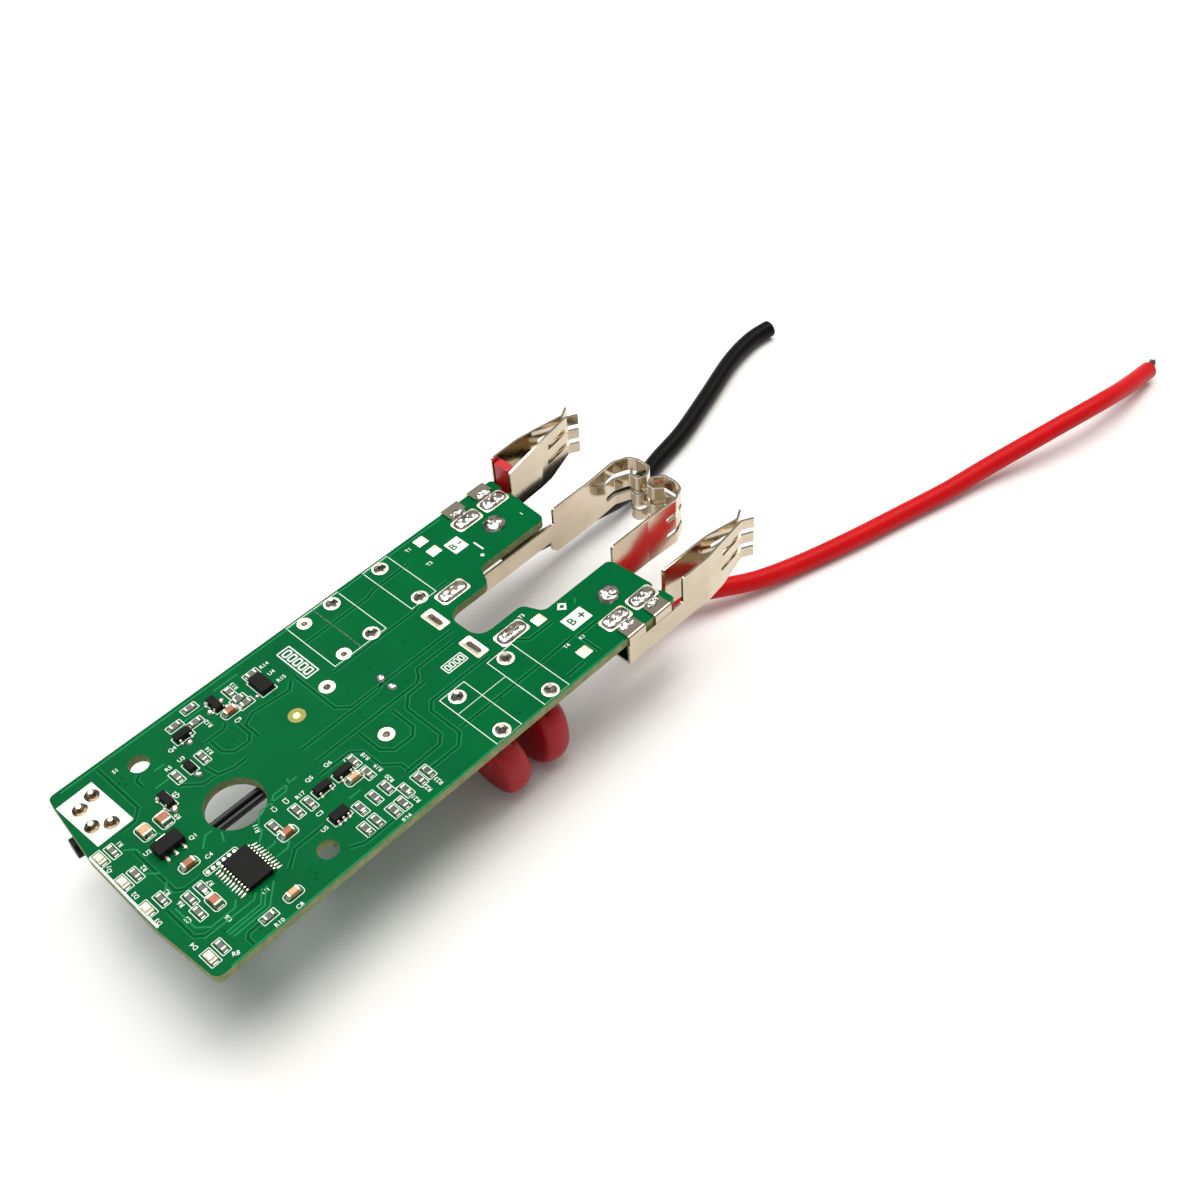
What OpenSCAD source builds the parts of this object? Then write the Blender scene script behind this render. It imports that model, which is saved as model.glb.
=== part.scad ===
// Battery management board: X runs from the switch end to the contact end,
// Y across the board, Z up. The four dipped capacitors hang under the board
// and stand on z = 0 with the two main wires.

/* [Board] */
// Width of the board
board_w = 44; // [42:0.5:48]
// Thickness of the board
board_t = 1.6; // [1.2:0.2:2]
// Length of the straight long edge, from the near left corner
board_l = 92.4; // [88:0.4:98]
// How far the near edge bows out past the left corner
near_bow = 2.6; // [1.6:0.2:3.6]
// Start of the centre slot
slot_start = 65.1; // [63:0.3:66]
// Half width of the slot between the bumps
slot_half = 3.9; // [3:0.3:4.5]
// Half width of the slot between the prongs
prong_half = 7.6; // [7.6:0.2:8.4]
// Diameter of the large round hole
big_hole_d = 9.6; // [7:0.4:11]
// Diameter of the two screw holes
screw_hole_d = 3.4; // [2.6:0.2:4]

/* [Contacts] */
// Length of the outer contacts' free leaves past the board
clip_reach = 18.5; // [16:0.5:21]
// Length of the middle contacts past the board
leaf_reach = 20; // [18:0.5:22]
// Thickness of the outer contacts' sheet
clip_sheet = 0.4; // [0.3:0.1:0.5]
// Thickness of the middle contacts' sheet
leaf_sheet = 0.5; // [0.4:0.1:0.6]
// Depth of the outer contacts under the board top
clip_drop = 5.8; // [5:0.2:6.6]
// Height of the outer contacts' leaves over the board top
clip_rise = 3.9; // [3:0.3:4.5]
// Gap between the two leaves at the pinch
pinch_gap = 0.4; // [0.3:0.1:0.9]
// Height of a leaf slot
finger_slot = 1.2; // [0.8:0.1:1.4]
// Distance of the middle contacts' walls from the centre line
leaf_y = 7; // [6.8:0.1:7.1]
// Depth of the middle contacts under the board top
leaf_drop = 8.6; // [7.4:0.3:9.5]
// Height of the middle contacts over the board top
leaf_rise = 1.5; // [0.9:0.3:2.4]

/* [Capacitors] */
// Thickness of a dipped capacitor
cap_t = 5.3; // [4.5:0.2:6]
// Width of a dipped capacitor
cap_w = 13.2; // [12:0.3:13.2]
// Height of a dipped capacitor
cap_h = 15.4; // [13:0.4:17]
// Gap between a capacitor and the board
cap_gap = 2.6; // [2:0.2:4]
// Distance between the two legs of a capacitor
cap_pitch = 10; // [8:0.5:10]
// Diameter of a capacitor leg
cap_leg_d = 0.8; // [0.6:0.1:0.9]
// Lean of the near right capacitor
cap_lean = 9.5; // [0:0.5:12]

/* [Switch] */
// Width of the switch housing
switch_w = 6; // [5.6:0.2:6.2]
// Depth of the switch housing
switch_d = 3.4; // [3:0.2:3.8]
// Height of the switch housing
switch_h = 6.2; // [5.8:0.2:7]
// Diameter of the plunger
plunger_d = 3.4; // [2.6:0.2:3.8]
// Length of the plunger outside the housing
plunger_out = 2.7; // [2.1:0.2:3.1]
// Travel of the plunger
plunger_travel = 0.3; // [0.2:0.05:0.4]

/* [Wires] */
// Outer diameter of the two main wires
wire_d = 3.5; // [3:0.1:3.5]
// Diameter of the thin sense leads
sense_d = 1.2; // [0.9:0.1:1.3]

/* [Chips] */
// Lead pitch of the controller
chip_pitch = 0.65; // [0.6:0.05:0.7]
// Height of the controller body
chip_h = 1.0; // [0.8:0.1:1.2]
// Width of a lead of the controller
chip_lead_w = 0.26; // [0.2:0.02:0.3]

/* [Hidden] */

stand = board_t + cap_gap + cap_h;      // board top over the surface
far_x = board_l + leaf_reach;           // far end of the object
facet_x = far_x - leaf_sheet/2;         // middle of the middle contacts' far wall
mid_x = (far_x - near_bow)/2;
under = -board_t;
half_w = board_w/2;
fit = 0.1;                              // a leg in its hole
fillet_steps = 5;

// ---------- helpers ----------
module placed() translate([-mid_x, 0, stand]) children();
module mirrored(side) mirror([0, side > 0 ? 1 : 0, 0]) children();

function unit(v) = v/norm(v);
// corner p between a and b as an arc of radius r
function corner(a, p, b, r, n) = let(u = unit(a - p), v = unit(b - p),
    c = acos(max(-1, min(1, u*v))), d = r/tan(c/2), m = unit(u + v)*(r/sin(c/2)),
    s = p + u*d - (p + m), e = p + v*d - (p + m),
    turn = sign(s[0]*e[1] - s[1]*e[0])*(180 - c))
  [for (i = [0:n]) let(t = turn*i/n)
    p + m + [s[0]*cos(t) - s[1]*sin(t), s[0]*sin(t) + s[1]*cos(t)]];
// closed outline of [x, y, radius] corners
function rounded(pts, n = fillet_steps) = [for (i = [0:len(pts) - 1])
  let(q = pts[i], a = pts[(i + len(pts) - 1) % len(pts)], b = pts[(i + 1) % len(pts)],
      p = [q[0], q[1]])
  each (q[2] > 0 ? corner([a[0], a[1]], p, [b[0], b[1]], q[2], n) : [p])];
// open run of [x, y, radius] bends
function bent(pts, n = 4) = [for (i = [0:len(pts) - 1]) let(q = pts[i], p = [q[0], q[1]])
  each ((i == 0 || i == len(pts) - 1 || q[2] == 0) ? [p]
    : corner([pts[i - 1][0], pts[i - 1][1]], p, [pts[i + 1][0], pts[i + 1][1]], q[2], n))];
// outline of a strip of thickness t along an open run
function side_of(p, i) = let(a = i == 0 ? p[1] - p[0] : p[i] - p[i - 1],
    b = i == len(p) - 1 ? a : p[i + 1] - p[i], u = unit(a), v = unit(b), s = u + v)
  [-s[1], s[0]]/(1 + u*v);
function strip(p, t) = concat([for (i = [0:len(p) - 1]) p[i] + side_of(p, i)*t/2],
  [for (i = [len(p) - 1:-1:0]) p[i] - side_of(p, i)*t/2]);
module sheet_run(p, t, z0, z1) translate([0, 0, z0]) linear_extrude(z1 - z0) polygon(strip(p, t));
// an outline in X and Z with thickness in Y
module wall_xz(pts, y0, y1) translate([0, y1, 0]) rotate([90, 0, 0]) linear_extrude(y1 - y0) polygon(pts);
module box(x0, x1, y0, y1, z0, z1) translate([x0, y0, z0]) cube([x1 - x0, y1 - y0, z1 - z0]);

// ---------- board ----------
bump_end = board_l - 17.7;
finger_y = half_w - 3.8;                // inner edge of the outer fingers
clip_in_y = half_w - 4.4;               // inner wall of an outer contact
clip_out_y = half_w + fit + clip_sheet/2;
leg_w = 3.6;
clip_legs = [board_l - 11.5, board_l - 5.2];               // near edges of the inner wall's legs
tab_w = 3.8;
clip_tabs = [board_l - 11.6, board_l - 5.4];               // near edges of the outer wall's tabs
leaf_leg = [slot_start + 2.3, slot_start + 6.3];
screw_holes = [[13.1, half_w - 5.05], [22.3, 5 - half_w]];
big_hole = [18.3, -0.2];
main_wires = [[85.8, -13.1], [85.1, 13.2]];   // where the routes start
ring_holes = [[42.2, 6.9], [42.1, -7.4]];
oval_slots = [[slot_start - 1.8, slot_half + 0.65], [slot_start - 1.8, -slot_half - 0.65]];
cap_rows = [54.4, 65];
cap_y = half_w - 6.8;
cap_legs = [for (x = cap_rows, s = [-1, 1], e = [-1, 1]) [x, s*cap_y + e*cap_pitch/2]];
spare_legs = [[48.5, cap_y + cap_pitch/2], [48.5, cap_y - cap_pitch/2]];

module board_outline() {
  half = [[slot_start, 0, 0], [slot_start, slot_half, 2.6], [bump_end, slot_half, 1.6],
    [bump_end + 1.6, prong_half, 1.6], [board_l - 0.6, prong_half, 1.3],
    [board_l, finger_y - 0.6, 1.0], [board_l - 2.8, finger_y - 1.0, 0.4],
    [board_l - 2.8, finger_y + 1.0, 0.3], [board_l, clip_in_y + 1.1, 0.5],
    [board_l, half_w - 0.3, 0.4]];
  left = [for (q = half) [q[0], q[1], q[2]]];
  right = [for (i = [len(half) - 1:-1:1]) [half[i][0], -half[i][1], half[i][2]]];
  near = [[-near_bow*0.65, -half_w, 1.4], [-near_bow, -9, 6], [-near_bow*0.8, 8, 8],
    [0, half_w, 1.1]];
  polygon(rounded(concat(left, [[board_l - 6, half_w, 0]], [], [for (i = [3:-1:0]) near[i]],
    [[board_l - 6, -half_w, 0]], right)));
}
module board() color("#0d6b3f") difference() {
  translate([0, 0, under]) linear_extrude(board_t) board_outline();
  translate([big_hole[0], big_hole[1], under - 1]) cylinder(d = big_hole_d, h = board_t + 2, $fn = 48);
  for (p = screw_holes) translate([p[0], p[1], under - 1])
    cylinder(d = screw_hole_d, h = board_t + 2, $fn = 32);
  for (p = ring_holes) translate([p[0], p[1], under - 1]) cylinder(d = 1.2, h = board_t + 2, $fn = 16);
  for (p = oval_slots) translate([p[0], p[1], under - 1]) oval(1, 3.2, board_t + 2);
  for (p = concat(cap_legs, spare_legs)) translate([p[0], p[1], under - 1])
    cylinder(d = cap_leg_d + 2*fit, h = board_t + 2, $fn = 16);
  for (p = main_wires) translate([p[0], p[1], under - 1])
    cylinder(d = core_d + 2*fit, h = board_t + 2, $fn = 16);
  for (p = switch_feet) at_switch() translate([p[0], p[1], under - 1])
    cylinder(d = foot_d + 2*fit, h = board_t + 2, $fn = 12);
  for (s = [-1, 1]) {
    for (x = clip_legs) box(x - fit, x + leg_w + fit, min(s*(clip_in_y - 0.4), s*(clip_in_y + 1)),
      max(s*(clip_in_y - 0.4), s*(clip_in_y + 1)), under - 1, 1);
    box(leaf_leg[0] - fit, leaf_leg[1] + fit, s*leaf_y - leaf_sheet/2 - fit,
      s*leaf_y + leaf_sheet/2 + fit, under - 1, 1);
  }
}
module oval(w, l, h) linear_extrude(h) polygon(rounded([[-w/2, -l/2, w*0.49], [w/2, -l/2, w*0.49],
  [w/2, l/2, w*0.49], [-w/2, l/2, w*0.49]], 4));

// ---------- outer contacts ----------
clip_x0 = board_l - 11.8;
clip_free = board_l + 1.2;              // where the leaves stand free of the board
flare_x = board_l + clip_reach + 1.2;
pinch_x = flare_x - 2;
pinch_y = half_w - 1.45;
leaf_slot_x = pinch_x - 6.3;
flare = 1.5;                            // how far a tip turns out
leaf_low = 4.7;                         // lowest finger under the board top
module leaf_cuts(x0, top, low) {
  step = (top + low + finger_slot)/3;
  for (i = [1, 2]) wall_xz(rounded([[x0 + (2 - i)*0.4, top - i*step, 0.4], [far_x + 2, top - i*step, 0],
    [far_x + 2, top - i*step + finger_slot, 0], [x0 + (2 - i)*0.4, top - i*step + finger_slot, 0.4]]),
    -half_w - 3, half_w + 3);
}
// the plan run of the sheet, cut to its side outline
module clip_leaf(run, near_low, near_top, rise) difference() {
  intersection() {
    sheet_run(bent(run), clip_sheet, -clip_drop - 2, clip_rise + 2);
    wall_xz(rounded([[clip_x0, -clip_drop, 0], [clip_free + 2, -clip_drop - 0.2, 0],
      [pinch_x - 5.5, -clip_drop - 0.5, 2], [pinch_x, -leaf_low, 1], [far_x + 2, -leaf_low, 0],
      [far_x + 2, clip_rise, 0], [pinch_x, clip_rise, 1], [pinch_x - 6.1, rise + 0.2, 3],
      [clip_free, near_top, 0.4], [clip_free, near_low, 0.3], [clip_x0, near_low, 0]]),
      -half_w - 3, half_w + 3);
  }
  leaf_cuts(leaf_slot_x, clip_rise, leaf_low);
}
module contact_outer() {
  out_run = [[clip_x0, clip_out_y, 0], [pinch_x - 10.1, clip_out_y + 0.1, 8],
    [pinch_x, pinch_y + pinch_gap/2 + clip_sheet/2, 0.8], [flare_x, pinch_y + flare, 0]];
  in_run = [[clip_x0, clip_in_y, 0], [board_l + 0.2, clip_in_y, 1], [clip_free + 0.2, clip_in_y + 0.5, 1],
    [pinch_x - 8.1, clip_in_y + 1.2, 6], [pinch_x, pinch_y - pinch_gap/2 - clip_sheet/2, 0.8],
    [flare_x, pinch_y - flare, 0]];
  clip_leaf(out_run, under + 0.1, clip_rise + 0.1, clip_rise);
  clip_leaf(in_run, under - fit, 2.9, clip_rise);
  // bottom bridge
  box(clip_x0, board_l + 1.6, clip_in_y - clip_sheet/2, clip_out_y + clip_sheet/2, -clip_drop,
    -clip_drop + clip_sheet);
  for (x = clip_legs) box(x, x + leg_w, clip_in_y - clip_sheet/2, clip_in_y + clip_sheet/2, under - 1, 0.5);
  // tabs folded over the board edge
  for (x = clip_tabs) wall_fold(x);
}
module wall_fold(x) translate([x, 0, 0]) rotate([90, 0, 90]) linear_extrude(tab_w)
  polygon(strip(bent([[clip_out_y, under - 0.2, 0], [clip_out_y, clip_sheet/2, clip_sheet/2 + 0.8*fit],
    [half_w - 2.2, clip_sheet/2, 0]]), clip_sheet));

// ---------- middle contacts ----------
leaf_x0 = board_l + 0.6;
leaf_low_z = -5.5;
leaf_slots = [leaf_rise - 2.8, leaf_rise - 6.7];
tip_gap = 0.4;                          // between the two hairpin tips
module contact_middle() difference() {
  union() {
    wall_xz(rounded([[leaf_leg[0], leaf_low_z, 0.6], [leaf_x0 - 0.8, leaf_low_z, 0], [leaf_x0 - 0.8, -7.4, 0.3],
      [leaf_x0 + 0.4, -leaf_drop, 0.8], [leaf_x0 + 6, -leaf_drop, 0], [leaf_x0 + 6, leaf_rise, 0],
      [leaf_x0, leaf_rise, 0.5], [leaf_x0, under - fit, 0.3], [leaf_leg[1], under - fit, 0],
      [leaf_leg[1], 0.7, 0.4], [leaf_leg[0], 0.7, 0.4]]), leaf_y - leaf_sheet/2, leaf_y + leaf_sheet/2);
    sheet_run(bent([[leaf_x0 + 6, leaf_y, 0], [facet_x - 10.2, leaf_y, 9], [facet_x - 3.4, leaf_y + 0.4, 1],
      [facet_x - 0.7, leaf_y - 0.8, 1], [facet_x, leaf_y - 2.4, 1], [facet_x, 1.9, 0.8], [facet_x - 2, tip_gap/2 + leaf_sheet/2, 1],
      [facet_x - 3.7, 1.2, 0.8], [facet_x - 3.7, 2.6, 1], [facet_x - 2.3, 3.9, 0]]),
      leaf_sheet, -leaf_drop, leaf_rise);
  }
  for (z = leaf_slots) wall_xz(rounded([[facet_x - 5.8, z - finger_slot, 0.5], [far_x + 2, z - finger_slot, 0],
    [far_x + 2, z, 0], [facet_x - 5.8, z, 0.5]]), -half_w, half_w);
}
// red block between the two walls, on the bottom bridge
module throat_spacer() color("#b81420") {
  y0 = clip_in_y + 0.5 + clip_sheet/2 + 0.2;
  y1 = clip_out_y - clip_sheet/2 - fit/2;
  translate([0, 0, -clip_drop + clip_sheet]) linear_extrude(clip_drop - clip_sheet + 3.1)
    polygon(rounded([[clip_free + fit, y0, 0.4], [clip_free + 1.9, y0, 0.4],
      [clip_free + 1.9, y1, 0.4], [clip_free + fit, y1, 0.4]]));
}

// ---------- dipped capacitors ----------
// a coin with a half-round rim and a straight upper part
module dipped_body() {
  r = cap_w/2; e = cap_t/2;
  rim = [for (i = [0:6]) let(a = -90 + 30*i) [r - e + e*cos(a), e*sin(a)]];
  rotate([0, 90, 0]) rotate_extrude($fn = 40) polygon(concat([[0, -e]], rim, [[0, e]]));
  up = cap_h - r;
  intersection() {
    linear_extrude(up) polygon(concat([for (i = [0:6]) let(a = -90 + 30*i) [e*sin(a), r - e + e*cos(a)]],
      [for (i = [0:6]) let(a = 90 - 30*i) [e*sin(a), -(r - e) - e*cos(a)]]));
    wall_yz(rounded([[-r, 0, 0], [-r, up, 3.6], [r, up, 3.6], [r, 0, 0]]), -e, e);
    wall_xz(rounded([[-e, 0, 0], [-e, up, e*0.9], [e, up, e*0.9], [e, 0, 0]]), -r, r);
  }
}
module wall_yz(pts, x0, x1) translate([x0, 0, 0]) rotate([90, 0, 90]) linear_extrude(x1 - x0) polygon(pts);
module dipped_at(x, side, lean) color("#a3131f") translate([x, side*cap_y, under]) rotate([0, -lean, 0])
  translate([0, 0, -cap_gap - cap_h + cap_w/2]) dipped_body();
module legs_at(x, side, lean) for (e = [-1, 1]) translate([x, side*cap_y + e*cap_pitch/2, under]) {
  cylinder(d = cap_leg_d, h = board_t + 1.1, $fn = 12);
  if (lean > 0) {
    sphere(d = cap_leg_d, $fn = 12);
    rotate([0, -lean, 0]) translate([0, 0, -cap_gap - leg_in]) cylinder(d = cap_leg_d, h = cap_gap + leg_in, $fn = 12);
  } else translate([0, 0, -cap_gap]) cylinder(d = cap_leg_d, h = cap_gap, $fn = 12);
}
leg_in = 0;
module capacitor_legs() color("#c9c6bd") for (side = [-1, 1], i = [0, 1])
  legs_at(cap_rows[i], side, side < 0 && i == 0 ? cap_lean : 0);

// ---------- push switch ----------
switch_turn = 8;
foot_d = 0.9;
switch_feet = [[0, 2], [0, -2], [2.6, 3.25], [2.6, -3.25]];
frame_t = 0.3;
plunger_z = under - 3.1;
module at_switch() translate([1.8, half_w - 7.5, 0]) rotate([0, 0, -switch_turn]) children();
module switch_housing() color("#1b1b1d") at_switch() difference() {
  box(-0.8, -0.8 + switch_d, -switch_w/2, switch_w/2, under - switch_h, under);
  translate([-1, 0, plunger_z]) rotate([0, 90, 0])
    cylinder(d = plunger_d + 2*plunger_fit, h = 1.6 + plunger_travel, $fn = 32);
  for (p = [switch_feet[0], switch_feet[1]]) translate([p[0], p[1], under - 1.2])
    cylinder(d = foot_d, h = 2, $fn = 12);
}
plunger_fit = 0.08;
module switch_frame() color("#c4c2bb") at_switch() {
  box(-0.8 + switch_d, -0.8 + switch_d + frame_t, -switch_w/2 - frame_t, switch_w/2 + frame_t,
    under - switch_h + 0.6, under - 0.8);
  for (s = [-1, 1]) switch_side(s);
}
module switch_side(s) {
  box(-0.8, switch_feet[2][0] + 0.45, min(s*switch_w/2, s*(switch_w/2 + frame_t)),
    max(s*switch_w/2, s*(switch_w/2 + frame_t)), under - switch_h + 0.6, under);
  translate([switch_feet[2][0], s*switch_feet[2][1], under]) cylinder(d = foot_d - 0.1, h = board_t + 0.9, $fn = 12);
}
module switch_pins() color("#c9c6bd") at_switch() for (p = [switch_feet[0], switch_feet[1]])
  translate([p[0], p[1], under - 1.2]) cylinder(d = foot_d, h = 1.2 + board_t + 0.9, $fn = 12);
module switch_plunger() color("#141416") at_switch() translate([-0.8 - plunger_out, 0, plunger_z])
  rotate([0, 90, 0]) cylinder(d = plunger_d, h = plunger_out + 1.3, $fn = 32);

// ---------- chips on the board top ----------
chip_at = [12.4, -11.1];
chip_l = 6.5; chip_w = 4.4; chip_span = 6.4; chip_leads = 10; chip_lift = 0.1;
module controller_body() color("#232426") translate([chip_at[0], chip_at[1], chip_lift])
  box(-chip_w/2, chip_w/2, -chip_l/2, chip_l/2, 0, chip_h);
function gull(reach, top, foot) = bent([[0, top, 0], [reach - foot - 0.15, top, 0.1],
  [reach - foot + 0.1, 0.08, 0.1], [reach, 0.08, 0]], 2);
module gull_lead(w, reach, top, foot) rotate([90, 0, 0]) translate([0, 0, -w/2]) linear_extrude(w)
  polygon(strip(gull(reach, top, foot), 0.16));
module controller_leads() color("#c9c6bd") for (s = [0, 180], i = [0:chip_leads - 1])
  translate([chip_at[0], chip_at[1], 0]) rotate([0, 0, s])
    translate([chip_w/2, (i - (chip_leads - 1)/2)*chip_pitch, 0]) gull_lead(chip_lead_w, (chip_span - chip_w)/2, 0.55, 0.5);

reg_at = [7.1, 0.9];
module regulator_body() color("#1f2022") translate([reg_at[0], reg_at[1], 0])
  linear_extrude(1.5, convexity = 4) polygon([[-2.25, -1.25], [2.25, -1.25], [2.25, 1.25], [-2.25, 1.25]]);
module regulator_leads() color("#c9c6bd") translate([reg_at[0], reg_at[1], 0]) {
  for (i = [-1:1]) box(i*1.5 - 0.22, i*1.5 + 0.22, -2.3, -1.25, 0, 0.4);
  box(-0.85, 0.85, 1.25, 2.2, 0, 0.4);
}
// small transistors: [x, y, turn]
small_fets = [[11.8, 7.9, 0], [20.9, 16.1, 90], [28, 17.3, 0], [28.8, -8.1, 90], [32.8, -8.1, 90]];
six_lead = [27.3, -13.8, 90];
// leadless chips: [x, y, width, length, height]
plain_chips = [[35.5, 15, 2.4, 3.8, 0.9], [18, 10.4, 1.2, 2, 0.7]];
module transistor_bodies() color("#242526") {
  for (p = small_fets) translate([p[0], p[1], 0.1]) rotate([0, 0, p[2]]) box(-0.65, 0.65, -1.45, 1.45, 0, 0.95);
  translate([six_lead[0], six_lead[1], 0.1]) rotate([0, 0, six_lead[2]]) box(-0.8, 0.8, -1.45, 1.45, 0, 1.0);
  for (c = plain_chips) translate([c[0], c[1], 0.1]) box(-c[2]/2, c[2]/2, -c[3]/2, c[3]/2, 0, c[4]);
}
module transistor_leads() color("#c9c6bd") {
  for (p = small_fets) translate([p[0], p[1], 0]) rotate([0, 0, p[2]]) {
    for (s = [-1, 1]) rotate([0, 0, 180]) translate([0.65, s*0.95, 0]) gull_lead(0.4, 0.6, 0.55, 0.35);
    translate([0.65, 0, 0]) gull_lead(0.4, 0.6, 0.55, 0.35);
  }
  translate([six_lead[0], six_lead[1], 0]) rotate([0, 0, six_lead[2]]) for (s = [0, 180], i = [-1:1])
    rotate([0, 0, s]) translate([0.8, i*0.95, 0]) gull_lead(0.4, 0.6, 0.55, 0.35);
}
// two-ended chips: [x, y, turn]; turn 0 lies along Y
resistors = [[15.5, 10.4, 0], [20.4, 10.5, 0], [3.7, -8.7, 0], [5.9, -8.7, 0], [3.1, -11.5, 0],
  [9.4, -19.5, 90], [21.2, 18.7, 90], [24.9, 19.9, 90], [23.8, 16.9, 90], [31.1, 17.6, 0],
  [31.2, 15.5, 90], [31.5, 14, 90], [35.8, 18.1, 90], [19.5, -8, 0], [23.6, -8.3, 0], [25.8, -8.6, 0],
  [35.2, -7.5, 0], [35.2, -10.8, 0], [30.2, -15.1, 0], [36.9, -17.6, 0], [28.3, -18.5, 0],
  [32.9, -15.1, 0], [35.3, -15.1, 0], [30.3, -18.5, 0], [33.2, -19.1, 0], [35, -19.1, 0],
  [39.6, -17.6, 0], [41.4, -17.5, 0], [1, 6.5, 0], [0.9, 0.6, 0], [0.9, -5.7, 0], [1.9, -18.3, 0]];
capacitors = [[6.2, 5.7, 0, 1.6], [9.4, 5.4, 0, 1.6], [7.1, -3.9, 90, 1.1], [14.1, -19.2, 90, 1],
  [28.8, 14.4, 90, 1], [20.2, -10.4, 90, 1.1], [33.2, -10.2, 90, 0.9], [5.8, -11.8, 0, 1.3]];
chip_len = 1.6; cap_len = 2; end_w = 0.3;
module two_ended(p, l, w, h, ends) translate([p[0], p[1], 0]) rotate([0, 0, p[2]])
  if (ends) for (s = [-1, 1]) translate([0, s*(l/2 - end_w/2), 0]) box(-w/2, w/2, -end_w/2, end_w/2, 0, h);
  else box(-w/2, w/2, -l/2 + end_w, l/2 - end_w, 0, h - 0.02);
module chip_resistors() color("#2b2623") for (p = resistors) two_ended(p, chip_len, 0.8, 0.5, false);
module chip_capacitors() color("#a8683c") for (p = capacitors) two_ended(p, cap_len, p[3], 0.9, false);
module chip_end_caps() color("#c9c6bd") {
  for (p = resistors) two_ended(p, chip_len, 0.8, 0.5, true);
  for (p = capacitors) two_ended(p, cap_len, p[3], 0.9, true);
}
leds = [[-1.05, 6.7, 0], [-1.15, 0.7, 0], [-1.45, -5.5, 0], [-0.2, -18.6, 0]];
module status_leds() color("#efe9d6") for (p = leds) translate([p[0], p[1], 0]) {
  box(-0.6, 0.6, -1, 1, 0, 0.35);
  box(-0.55, 0.55, -0.6, 0.6, 0.35, 0.75);
}

// ---------- wires ----------
core_d = 2;
// routes in board millimetres, z under the board top with the wire on the surface
red_route = [[85.8, -13.1, -1.95], [85.8, -13.1, -3], [85.8, -13.1, -4.2], [87.9, -13, -8.8], [93, -12.8, -11.6],
  [98.5, -12.7, -12.8], [104, -13.6, -14.2], [110, -16.2, -15.6], [117, -19.3, -16.9], [126, -22.2, -17.7],
  [137, -25.5, -17.7], [148, -28.3, -17.7], [158, -31, -17.4], [167.5, -33.4, -16.5], [176, -36.2, -15],
  [185, -39, -13.7], [194, -41, -13.5], [203, -41.4, -15.2], [213, -41, -17.4]];
black_route = [[85.1, 13.2, -1.95], [85.1, 13.2, -3], [85.1, 13.2, -4.2], [87.4, 13.2, -8.4], [93.5, 13.2, -11],
  [101, 13.2, -12.7], [108, 13.2, -14.1], [115, 13.3, -15.8], [122, 14.2, -17.2], [130, 16.3, -17.7],
  [139, 18, -17.7], [150, 21.3, -17.7], [162, 25.1, -17.7], [170, 26.4, -17.7], [175.5, 26, -17.7]];
// smooth run through the points, two rings to a span
function along(a, b, c, d, t) = 0.5*((2*b) + (c - a)*t + (2*a - 5*b + 4*c - d)*t*t
  + (3*b - a - 3*c + d)*t*t*t);
function smooth(p, n = 2) = concat([for (i = [0:len(p) - 2], j = [0:n - 1])
  along(p[max(i - 1, 0)], p[i], p[i + 1], p[min(i + 2, len(p) - 1)], j/n)], [p[len(p) - 1]]);
function ring(p, i, r, n) = let(t = unit(p[min(i + 1, len(p) - 1)] - p[max(i - 1, 0)]),
    u = unit(cross([0, 1, 0], t)), v = cross(t, u))
  [for (k = [0:n - 1]) p[i] + r*(u*cos(360*k/n) + v*sin(360*k/n))];
module tube(p, r, n = 8) {
  m = len(p);
  polyhedron([for (i = [0:m - 1]) each ring(p, i, r, n)],
    concat([[for (k = [0:n - 1]) k]],
      [for (i = [0:m - 2], k = [0:n - 1]) [i*n + k, (i + 1)*n + k, (i + 1)*n + (k + 1) % n, i*n + (k + 1) % n]],
      [[for (k = [n - 1:-1:0]) (m - 1)*n + k]]), convexity = 6);
}
module wire_red() color("#c4141f") tube(smooth(red_route), wire_d/2);
module wire_black() color("#1a1b1c") tube(smooth(black_route), wire_d/2);
red_run = smooth(red_route);
red_tip = red_run[len(red_run) - 1];
red_way = unit(red_tip - red_run[len(red_run) - 2]);
module wire_red_end() color("#8d857a") tube([red_tip + 0.02*red_way, red_tip + 1.8*red_way], core_d/2, 12);

// ---------- solder ----------
module cap_dome(r, h) intersection() {
  R = (r*r + h*h)/(2*h);
  translate([0, 0, h - R]) sphere(r = R, $fn = 32);
  translate([0, 0, 0]) cylinder(r = r + 1, h = h + 1, $fn = 32);
}
module wire_solder() color("#b9b7b0") for (p = main_wires) translate([p[0], p[1], 0]) {
  cap_dome(1.8, 1.1);
  translate([0, 0, -board_t - 0.3]) cylinder(d = core_d, h = board_t + 0.4, $fn = 16);
}
module solder_ring(r, h, pin) rotate_extrude($fn = 20) polygon([[pin/2 + 0.02, 0], [r, 0], [r*0.62, h*0.35],
  [pin/2 + 0.12, h], [pin/2 + 0.02, h]]);
module leg_solder() color("#b9b7b0") {
  for (p = cap_legs) translate([p[0], p[1], 0]) solder_ring(1.15, 0.8, cap_leg_d);
  at_switch() for (p = switch_feet) translate([p[0], p[1], 0]) solder_ring(1.0, 0.7, foot_d);
}
module contact_solder() color("#c6c4bd") for (s = [-1, 1]) {
  for (x = clip_legs) difference() {
    pillow(x - 0.6, x + leg_w + 0.6, s*clip_in_y, 1.1, 0.45);
    box(x - 0.02, x + leg_w + 0.02, s*clip_in_y - clip_sheet/2 - 0.02, s*clip_in_y + clip_sheet/2 + 0.02, -1, 2);
  }
  difference() {
    pillow(leaf_leg[0] - 0.6, leaf_leg[1] + 0.6, s*leaf_y, 1.1, 0.6);
    box(leaf_leg[0] - 0.02, leaf_leg[1] + 0.02, s*leaf_y - leaf_sheet/2 - 0.02, s*leaf_y + leaf_sheet/2 + 0.02, -1, 2);
  }
}
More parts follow.
